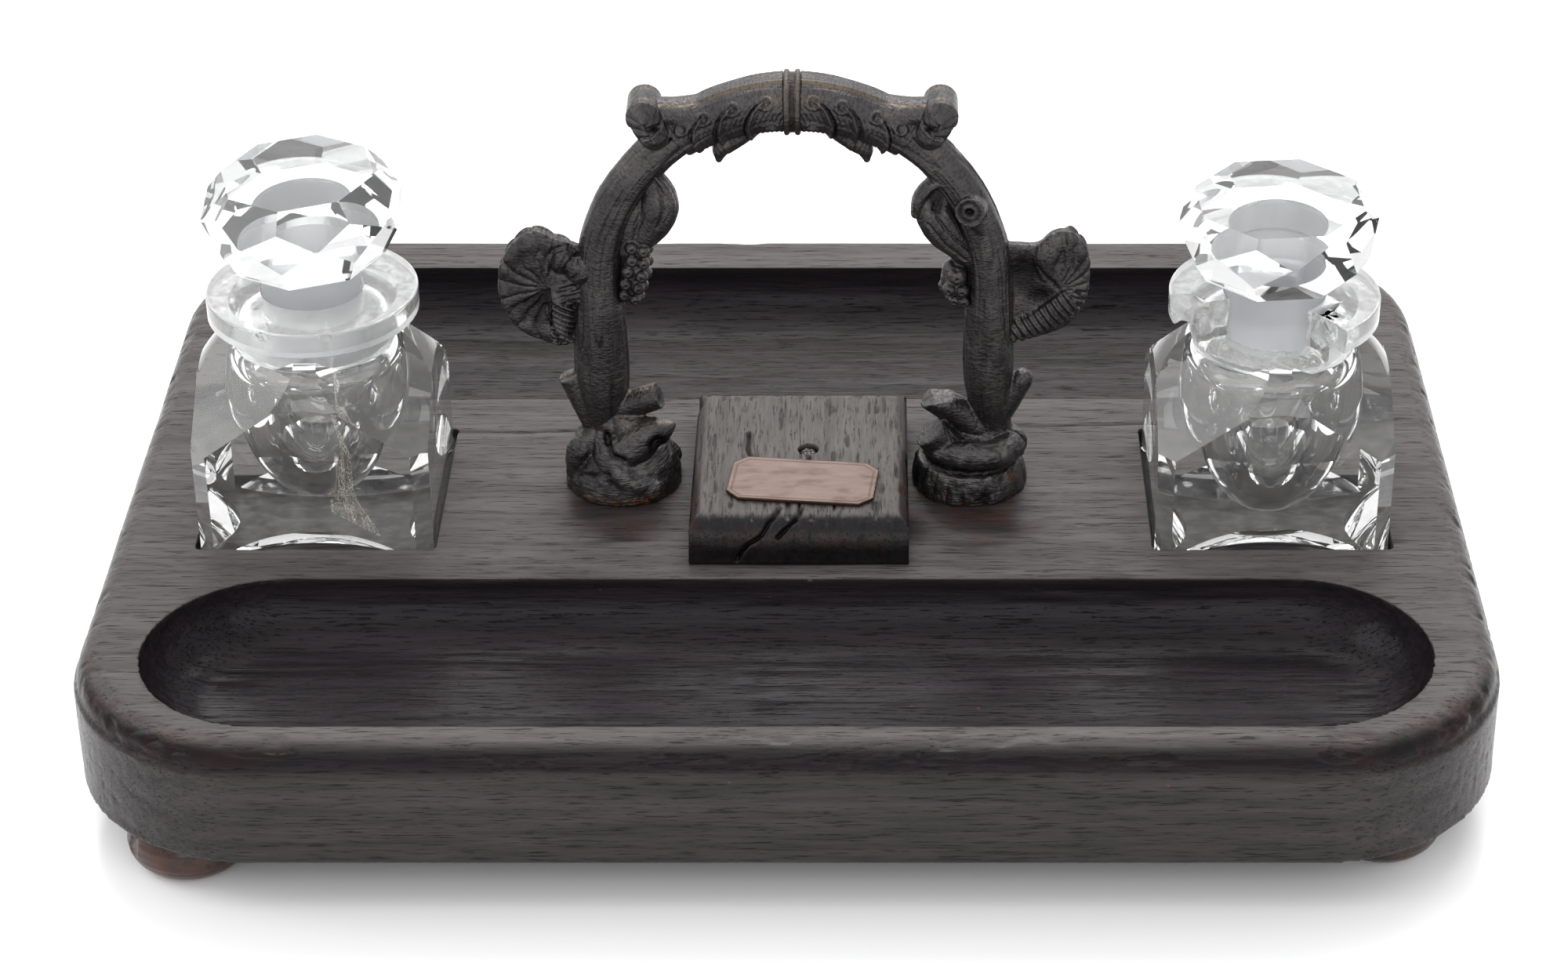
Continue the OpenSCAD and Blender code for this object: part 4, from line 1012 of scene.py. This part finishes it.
def sprig(side):
    parts = []
    for u, z, r in GRAPES[side]:
        for back in (-2.9, 2.9):
            parts.append(ball((u, back, z), (r, r, r), 20))
        parts.append(ball((u - 0.6, 0, z - 0.5), (r * 1.1, r * 1.2, r * 1.1), 16))
    top = max(z for u, z, r in GRAPES[side])
    parts.append(branch([(37, 0, 48), (35.6, 0, (48 + top) / 2), (35.4, 0, top)], [2.4, 3.1, 2.8]))
    if side < 0:
        parts += [branch([(34.4, 0, 75), (35.2, 0, 69), (36.2, 0, 64), (37.2, 0, 59)], [2.2, 2.8, 2.8, 2.4], 20),
                  branch([(33.4, 0, 79.5), (30.4, -0.4, 75.6), (29.4, -0.4, 71.2), (30, 0, 67), (32.6, 0, 62.6), (35.6, 0, 61)],
                         [1.2, 3.0, 4.3, 4.3, 3.4, 2.4], 30, 0.95),
                  branch([(32, -2.5, 79), (28.4, -2.6, 75.4), (26.6, -2.6, 71), (27.8, -3.2, 67)], [0.7, 1.0, 1.0, 0.7], 20)]
    else:
        parts += [branch([(32.6, 0, 73.4), (31, -0.4, 69), (33, -0.4, 64), (36.6, 0, 59.6), (39.6, 0, 56)],
                         [2.6, 4.4, 4.4, 3.6, 2.6], 30, 0.9),
                  branch([(35.4, -1, 77.2), (31, -1.6, 76), (27.8, -1.8, 72.6), (26.8, -1.6, 68.6)], [1.6, 1.7, 1.7, 1.2], 20, 1.6)]

    def shape(q, n):
        lift = 0.05 * layered(q, 1.4, 2, 151)
        hollow = np.zeros(len(q))
        for u, z, r in GRAPES[side]:
            for back in (-2.9, 2.9):
                centre = (u - 0.1, back * (1 + r * 0.32), z - 0.1)
                pit = bump_at(q, centre, (0.42, 0.9, 0.42), -0.55)
                lift += pit
                hollow -= pit
        if side < 0:
            lift += groove(q * (1, 0, 1), [(30.6, 0, 78), (28.6, 0, 74), (28.2, 0, 70), (29.6, 0, 66)], 0.5, 0.5) * ease(0, 0.5, np.abs(n[:, 1]))
        else:
            lift += bump_at(q * (1, 0, 1), (31.4, 0, 71.6), (2.4, 1, 3.4), -1.4)
            for k in (-1.6, 0.2, 2.0):
                line = [(29.4 + k, 0, 66.5 + k), (33.4 + k, 0, 61 + k), (37.4 + k, 0, 57.2 + k)]
                lift += groove(q * (1, 0, 1), line, 0.4, 0.45) * ease(0, 0.5, np.abs(n[:, 1]))
        return lift, {"hollow": np.clip(hollow * 2 + ease(0.2, 0.9, -lift), 0, 1)}

    name = "grape_sprig_left" if side < 0 else "grape_sprig_right"
    return cast(name[12:] + "_grapes", parts, side, 0.2, name, shape, 1)


# Cut glass. Every glass mesh has the same materials: 0 polished, 1 ground,
# 2 satin, 3 broken surface, 4 underside.

GLASS = [CLEAR, GROUND, SATIN, BROKEN, BASE]


def sliced(low, high, planes, kinds=None):
    """A block with all beyond each plane (place, outward direction) cut off."""
    bm = bmesh.new()
    bmesh.ops.create_cube(bm, size=1)
    for v in bm.verts:
        v.co = [lo + (hi - lo) * (c + 0.5) for lo, hi, c in zip(low, high, v.co)]
    for place, direction in planes:
        parts = bm.verts[:] + bm.edges[:] + bm.faces[:]
        cut = bmesh.ops.bisect_plane(bm, geom=parts, dist=1e-6, plane_co=place,
                                     plane_no=direction, clear_outer=True)
        edges = [g for g in cut["geom_cut"] if isinstance(g, bmesh.types.BMEdge)]
        if len(edges) > 2:
            bmesh.ops.edgenet_fill(bm, edges=edges)
    bmesh.ops.recalc_face_normals(bm, faces=bm.faces[:])
    points = np.array([v.co[:] for v in bm.verts])
    faces = [tuple(v.index for v in f.verts) for f in bm.faces]
    bm.free()
    return points, faces


def slope(bearing, up, distance):
    """A plane that faces a bearing and a height angle, at a distance."""
    a, b = math.radians(bearing), math.radians(up)
    n = np.array([math.cos(b) * math.cos(a), math.cos(b) * math.sin(a), math.sin(b)])
    return n * distance, n


def carved(name, base, base_kind, *steps):
    """Adds and takes away parts. A step is (operation, part, kind of surface)."""
    made = []
    for part, kind in [(base, base_kind)] + [(s[1], s[2]) for s in steps]:
        mesh = mesh_of(name, part)
        for material in GLASS:
            mesh.materials.append(material)
        kinds = kind if isinstance(kind, list) else [kind] * len(mesh.polygons)
        mesh.polygons.foreach_set("material_index", kinds)
        made.append(bpy.data.objects.new(name, mesh))
        bpy.context.scene.collection.objects.link(made[-1])
    for obj, step in zip(made[1:], steps):
        cut = made[0].modifiers.new("cut", "BOOLEAN")
        cut.operation, cut.solver, cut.object = step[0], "EXACT", obj
    graph = bpy.context.evaluated_depsgraph_get()
    mesh = bpy.data.meshes.new_from_object(made[0].evaluated_get(graph))
    for obj in made:
        bpy.data.objects.remove(obj)
    return mesh


def turned(profile, sides=160):
    """A lathe part about the Z axis, each span with its own kind of surface."""
    part = lathe([(r, z) for r, z, kind in profile], (0, 0, 0), sides)
    kinds = [kind for r, z, kind in profile[:-1] for _ in range(sides)]
    return part, kinds + [profile[0][2], profile[-1][2]]


def crystal(name, mesh, centre, body, node):
    """A glass piece in its place, crisp where its cuts meet."""
    mesh.transform(Matrix.Translation(Vector(np.array(centre) * MM)))
    mesh.shade_smooth()
    mesh.set_sharp_from_angle(angle=math.radians(14))
    broken = [set(face.edge_keys) for face in mesh.polygons if face.material_index == 3]
    seams = {key for face in mesh.polygons if face.material_index != 3 for key in face.edge_keys}
    inner = set().union(*broken) - seams
    for edge in mesh.edges:
        if edge.key in inner:
            edge.use_edge_sharp = False
    obj = bpy.data.objects.new(name, mesh)
    bpy.context.scene.collection.objects.link(obj)
    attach(obj, body)
    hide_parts(node)
    return obj


def well(side, floor_z, slice_z, chips, missing=None):
    """A square cut well, drawn about the middle of its base.

    chips are hollows of breaks: bearing, out from the flange's rim, up from its
    top, radius. missing is a sector broken out of flange and neck: first and
    last bearing, depth below the flange's top.
    """
    name = "left" if side < 0 else "right"
    low, high = corners("ink_well_" + name)
    centre = ((low[0] + high[0]) / 2, (low[1] + high[1]) / 2, low[2])
    half, top = (high[0] - low[0]) / 2, high[2] - low[2]
    flange_z, neck_r, flange_r, bore_r = top - 5.6, 18.5, 23.3, 11.0
    shoulder_z = flange_z - 4
    diagonal = half * math.sqrt(2) - 2.5
    planes = [slope(b, up, away) for b in (45, 135, 225, 315)
              for up, away in ((0, diagonal), (45, (diagonal + 26) * math.sqrt(0.5)))]
    body = sliced((-half, -half, 0), (half, half, shoulder_z + 4), planes)
    # Waste of the turned shoulder: outside a domed back and the neck
    back_r, foot_z = half * 1.2, shoulder_z - 8
    back_z = shoulder_z + 6.6 - back_r
    edge_r = math.sqrt(back_r**2 - (foot_z - back_z)**2)
    waste = [(neck_r, top + 2, 0)]
    waste += [(r, back_z + math.sqrt(back_r**2 - r * r), 0) for r in np.linspace(neck_r, edge_r, 24)]
    waste += [(2 * half, foot_z, 0), (2 * half, top + 2, 0), (neck_r, top + 2, 0)]
    ring = 0.6
    flange_line = [(neck_r - 3, flange_z, 2), (flange_r - ring, flange_z, 2)]
    for b in np.linspace(-80, 80, 9):
        z = flange_z + ring if b < 0 else top - ring
        flange_line.append((flange_r - ring + ring * math.cos(math.radians(b)),
                            z + ring * math.sin(math.radians(b)), 2))
    flange_line += [(flange_r - ring, top, 2), (flange_r - 4.0, top - 0.02, 2), (neck_r - 3, top, 2)]
    neck_line = [(0.01, shoulder_z - 2, 2), (neck_r, shoulder_z - 2, 2), (neck_r, flange_z + 2, 2), (0.01, flange_z + 2, 2)]
    close_z = top - 13.5
    wide_r, wide_z, full = 17.8, close_z - 4.9, 2 / 2.1
    bulb = [(max(0.01, wide_r * math.sin(t)**full), wide_z - (wide_z - floor_z) * max(0, math.cos(t))**full, 0)
            for t in np.linspace(0, math.pi / 2, 40)]
    bulb += [(bore_r + (wide_r - bore_r) * math.cos(t), wide_z + (close_z - wide_z) * math.sin(t), 0)
             for t in np.linspace(0, math.pi / 2, 14)[1:]]
    bulb += [(bore_r, close_z + 0.1, 1), (bore_r, top - 0.4, 1), (bore_r + 0.5, top + 0.1, 1), (bore_r + 0.5, top + 3, 1), (0.01, top + 3, 1)]
    arc_r, out = 36.0, 30.0
    hollow = ball((0, 0, 0), (math.hypot(arc_r, out),) * 3, 160)
    steps = [("DIFFERENCE", *turned_closed(waste)), ("UNION", *turned(neck_line)), ("UNION", *turned(flange_line)),
             ("DIFFERENCE", *turned(bulb))]
    for b in range(4):
        t = b * math.pi / 2
        steps.append(("DIFFERENCE", moved(hollow, ((half + out) * math.cos(t), (half + out) * math.sin(t), slice_z - arc_r)), 0))
    for bearing, outward, up, r in chips:
        t = math.radians(bearing)
        bite = rough_ball(((flange_r + outward) * math.cos(t), (flange_r + outward) * math.sin(t), top + up), r, bearing)
        steps.append(("DIFFERENCE", bite, 3))
    if missing:
        steps.append(("DIFFERENCE", rough_sector(missing[0], missing[1], top - missing[2], top + 2), 3))
    kinds = [4 if all(body[0][i][2] < 0.01 for i in face) else 0 for face in body[1]]
    mesh = carved("well_" + name, body, kinds, *steps)
    return crystal("cut_well_" + name, mesh, centre, "well_" + name, "ink_well_" + name)


def rough_sector(first, last, low, high):
    """A sector round the axis between two bearings, its faces uneven like a break."""
    loops = []
    for b in np.radians(np.linspace(first, last, 40)):
        loops.append(np.array([(r * math.cos(b), r * math.sin(b), z)
                               for r, z in ((9, low), (28, low), (28, high), (9, high))]))
    mesh = skinned("break", mesh_of("break", rings(loops)), 0.45, 5)
    p, n = points_of(mesh), normals_of(mesh)
    shell = 0.7 * noise(p, (6, 6, 4), 161) + 0.10 * np.sin(2.6 * np.hypot(p[:, 0] - 4, p[:, 1] + 14))
    return p + n * shell[:, None], [tuple(face.vertices) for face in mesh.polygons]


def turned_closed(profile, sides=160):
    """A ring turned from a closed outline, without caps."""
    b = np.linspace(0, 2 * math.pi, sides, endpoint=False)
    loops = [np.stack([r * np.cos(b), r * np.sin(b), np.full(sides, z)], axis=1) for r, z, kind in profile[:-1]]
    points, faces = rings(loops + [loops[0]], closed=False)
    count = len(loops) * sides
    faces = [tuple(i % count for i in face) for face in faces]
    return (points[:count], faces), [kind for r, z, kind in profile[:-1] for _ in range(sides)]


def rough_ball(centre, radius, seed):
    """The hollow of a shell-shaped break, with ripples."""
    points, faces = ball((0, 0, 0), (1, 1, 1), 72)
    ripple = 0.05 * np.sin(points @ (9, 5, 7)) + 0.09 * layered(points, 0.5, 3, int(seed))
    return points * (radius * (1 + ripple))[:, None] + centre, faces


def stopper(side, plug_in, plug_out, turn, crown, under, tip, lean):
    """A head with three rows of facets, cut a little out of true on its plug.

    crown and under are its heights above and below the widest line; tip and
    lean are degrees to the front and to the left."""
    name = "left" if side < 0 else "right"
    centre = middle("ink_well_" + name)
    base_z = corners("stopper_" + name)[0][2]
    plug_r, plug_h = 10.94, plug_in + plug_out
    wide, belt, above, below = 22.1, 20.6, math.radians(51), math.radians(62)
    planes = []
    for k in range(8):
        planes.append(slope(k * 45, 90 - 51, wide * math.sin(above)))
        planes.append(slope(k * 45, 62 - 90, wide * math.sin(below)))
        planes.append(slope((k + 0.5) * 45, 0, belt))
    points, faces = sliced((-30, -30, -under), (30, 30, crown), planes)
    turned_by = Matrix.Rotation(math.radians(-lean), 3, "Y") @ Matrix.Rotation(math.radians(tip), 3, "X")
    points = points @ np.array(Matrix.Rotation(math.radians(turn), 3, "Z")).T + (0, 0, under)
    points = points @ np.array(turned_by).T + (0, 0, plug_h)
    plug = [(0.01, 0, 1), (plug_r - 0.5, 0, 1), (plug_r, 0.5, 1), (plug_r, plug_h - 1.6, 2),
            (plug_r - 0.12, plug_h + 1.8, 2), (0.01, plug_h + 1.8, 2)]
    mesh = carved("stopper_" + name, (points, faces), 0, ("UNION", *turned(plug)))
    return crystal("cut_stopper_" + name, mesh, (centre[0], centre[1], base_z), "stopper_" + name, "stopper_" + name)


def crack():
    """The old break in the left well: a thin sheet of trapped air, drawn as a film with a faint painted glow."""
    low, high = corners("ink_well_left")
    x0, y0, z0 = (low[0] + high[0]) / 2, (low[1] + high[1]) / 2, low[2]
    rows, columns = 46, 30
    points, faces = [], []
    for i in range(rows):
        z = 4 + 46.5 * i / (rows - 1)
        for j in range(columns):
            t = j / (columns - 1)
            inner = 11.3 if z > 41 else 18.2 * math.sqrt(max(0, 1 - ((36.3 - z) / 29.2) ** 2)) if z > 7.5 else 3
            outer = 22.8 if z > 49 else 18.2 if z > 43.5 else 25.6
            reach = inner + 0.3 + (outer - inner - 0.4) * t
            bearing = math.radians(-72 + 17 * max(0, 1 - z / 30) ** 1.3 + 2 * math.sin(z * 0.3))
            points.append((x0 + reach * math.cos(bearing), y0 + max(reach * math.sin(bearing), -25.4), z0 + z))
            if i and j:
                k = i * columns + j
                faces.append((k, k - 1, k - columns - 1, k - columns))
    mesh = mesh_of("crack", (np.array(points), faces))
    attribute(mesh, "shown", np.ones(len(points)))
    mesh.materials.append(CRACK)
    mesh.shade_smooth()
    obj = bpy.data.objects.new("old_crack", mesh)
    bpy.context.scene.collection.objects.link(obj)
    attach(obj, "well_left")
    return obj


# Fixings under the board

def fixing(name, part, node):
    mesh = mesh_of(name, part)
    obj = piece(name, mesh, STEEL, "stand", "steel", node)
    mesh.set_sharp_from_angle(angle=math.radians(30))
    return obj


def threaded(node):
    """A rod with a rolled thread."""
    low, high = corners(node)
    centre, r = (low + high) / 2, (high[0] - low[0]) / 2
    pitch, sides = 0.8, 24
    b = np.linspace(0, 2 * math.pi, sides, endpoint=False)
    loops = []
    for z in np.arange(low[2] + 0.1, high[2] - 0.1, pitch / 6):
        wave = 0.5 + 0.5 * np.cos(2 * math.pi * z / pitch - b)
        fade = min(1, (z - low[2]) / 0.8, (high[2] - z) / 0.8)
        reach = r - 0.42 * (1 - wave) - 0.3 * (1 - fade)
        loops.append(np.stack([centre[0] + reach * np.cos(b), centre[1] + reach * np.sin(b), np.full(sides, z)], 1))
    return fixing("rod_" + node, rings(loops), node)


def washer(node, hole=2.7):
    low, high = corners(node)
    centre, r, h = (low + high) / 2, (high[0] - low[0]) / 2, high[2] - low[2]
    line = [(hole, 0.1, 0), (hole + 0.1, 0, 0), (r - 0.15, 0, 0), (r, 0.2, 0), (r, h - 0.2, 0), (r - 0.15, h, 0),
            (hole + 0.1, h, 0), (hole, h - 0.1, 0), (hole, 0.1, 0)]
    part = turned_closed(line, 72)[0]
    return fixing("turned_" + node, moved(part, (centre[0], centre[1], low[2])), node)


def hex_nut(node, hole=2.45):
    """A nut with chamfered corners."""
    low, high = corners(node)
    centre, r, h = (low + high) / 2, (high[0] - low[0]) / 2, high[2] - low[2]
    b = np.linspace(0, 2 * math.pi, 72, endpoint=False)
    flat = r * math.cos(math.pi / 6) / np.cos((b % (math.pi / 3)) - math.pi / 6)
    loops = []
    for z, inset, limit in ((0.1, None, hole), (0, None, hole + 0.25), (0, 0, r * 0.90), (0.45, 0, r), (h - 0.45, 0, r),
                            (h, 0, r * 0.90), (h, None, hole + 0.25), (h - 0.1, None, hole)):
        reach = np.full(72, limit) if inset is None else np.minimum(flat, limit)
        loops.append(np.stack([centre[0] + reach * np.cos(b), centre[1] + reach * np.sin(b), np.full(72, low[2] + z)], 1))
    points, faces = rings(loops + [loops[0]], closed=False)
    count = len(loops) * 72
    return fixing("hex_" + node, (points[:count], [tuple(i % count for i in f) for f in faces]), node)


# Everything is made here

board()
lid()
knob_plug()
plate()
for foot_node in ("foot_front_left", "foot_front_right", "foot_rear_left", "foot_rear_right"):
    foot(foot_node)
trunk_left()
trunk_right()
for half_side in (-1, 1):
    grip(half_side)
    sprig(half_side)
ring_collar()
leaf_left()
leaf_right()
well(-1, 7.8, 7.0, [(250, 1.9, -0.2, 2.6), (285, 1.7, 0.1, 2.4)])
well(1, 4.8, 8.9, [(205, 1.7, 0.3, 9), (316, -7.8, -3.7, 4)], (200, 306, 9.6))
stopper(-1, 12, 9, 15.5, 7.8, 11.6, 3, 2.5)
stopper(1, 11, 7, 3.5, 5.6, 10.3, 2, 1)
crack()
for hand in ("left", "right"):
    threaded("handle_stud_" + hand)
    washer("handle_washer_" + hand)
    hex_nut("handle_nut_" + hand)


# Camera, floor and light

def view():
    data = bpy.data.cameras.new("camera")
    data.sensor_width = 36
    data.lens = 84.56
    data.shift_x = -0.05435
    data.clip_start, data.clip_end = 0.01, 20
    camera = bpy.data.objects.new("camera", data)
    camera.location = (0.0175, -0.7292, 0.4748)
    camera.rotation_euler = (math.radians(58.94), 0, 0)
    bpy.context.scene.collection.objects.link(camera)
    bpy.context.scene.camera = camera


def panel(name, place, target, size, power):
    """A soft rectangular light."""
    data = bpy.data.lights.new(name, "AREA")
    data.shape = "RECTANGLE"
    data.size, data.size_y = size
    data.energy = power
    obj = bpy.data.objects.new(name, data)
    obj.location = place
    obj.rotation_euler = (Vector(target) - Vector(place)).to_track_quat("-Z", "Y").to_euler()
    bpy.context.scene.collection.objects.link(obj)
    return obj


def floor():
    """A pale floor that carries a faint mirror image."""
    look = Look("pale_floor")
    look.set(Base_Color=(0.96, 0.96, 0.965),
             Roughness=look.ramp(look.noise([60, 60, 60], 2), (0.3, 0.16), (0.7, 0.20)))
    size = 4.0
    points = np.array([(-size, -size, 0), (size, -size, 0), (size, size, 0), (-size, size, 0)]) / MM
    mesh = mesh_of("floor", (points, [(0, 1, 2, 3)]))
    mesh.materials.append(look.material)
    obj = bpy.data.objects.new("floor", mesh)
    bpy.context.scene.collection.objects.link(obj)
    return obj


def surroundings():
    """A white room, brightest above and behind."""
    world = bpy.data.worlds.new("studio")
    world.use_nodes = True
    tree = world.node_tree
    facing = tree.nodes.new("ShaderNodeVectorMath")
    facing.operation = "DOT_PRODUCT"
    facing.inputs[1].default_value = (0, 0.5, 0.87)
    spread = tree.nodes.new("ShaderNodeMapRange")
    for key, value in (("From Min", -0.3), ("From Max", 0.8), ("To Min", 0.8), ("To Max", 1.15)):
        spread.inputs[key].default_value = value
    tree.links.new(tree.nodes.new("ShaderNodeTexCoord").outputs["Generated"], facing.inputs[0])
    tree.links.new(facing.outputs["Value"], spread.inputs["Value"])
    tree.links.new(spread.outputs["Result"], tree.nodes["Background"].inputs["Strength"])
    tree.nodes["Background"].inputs["Color"].default_value = (1, 1, 1, 1)
    bpy.context.scene.world = world


view()
surroundings()
floor()
panel("light_back", (0.1, 0.9, 1.3), (0, 0, 0.04), (1.6, 0.8), 22)
panel("light_front", (0.2, -1.5, 1.1), (0, -0.1, 0), (1.8, 0.9), 9)
panel("light_left", (-1.1, -0.1, 0.9), (0, 0, 0.04), (0.7, 1.0), 5)
bpy.context.scene.view_settings.view_transform = "Standard"
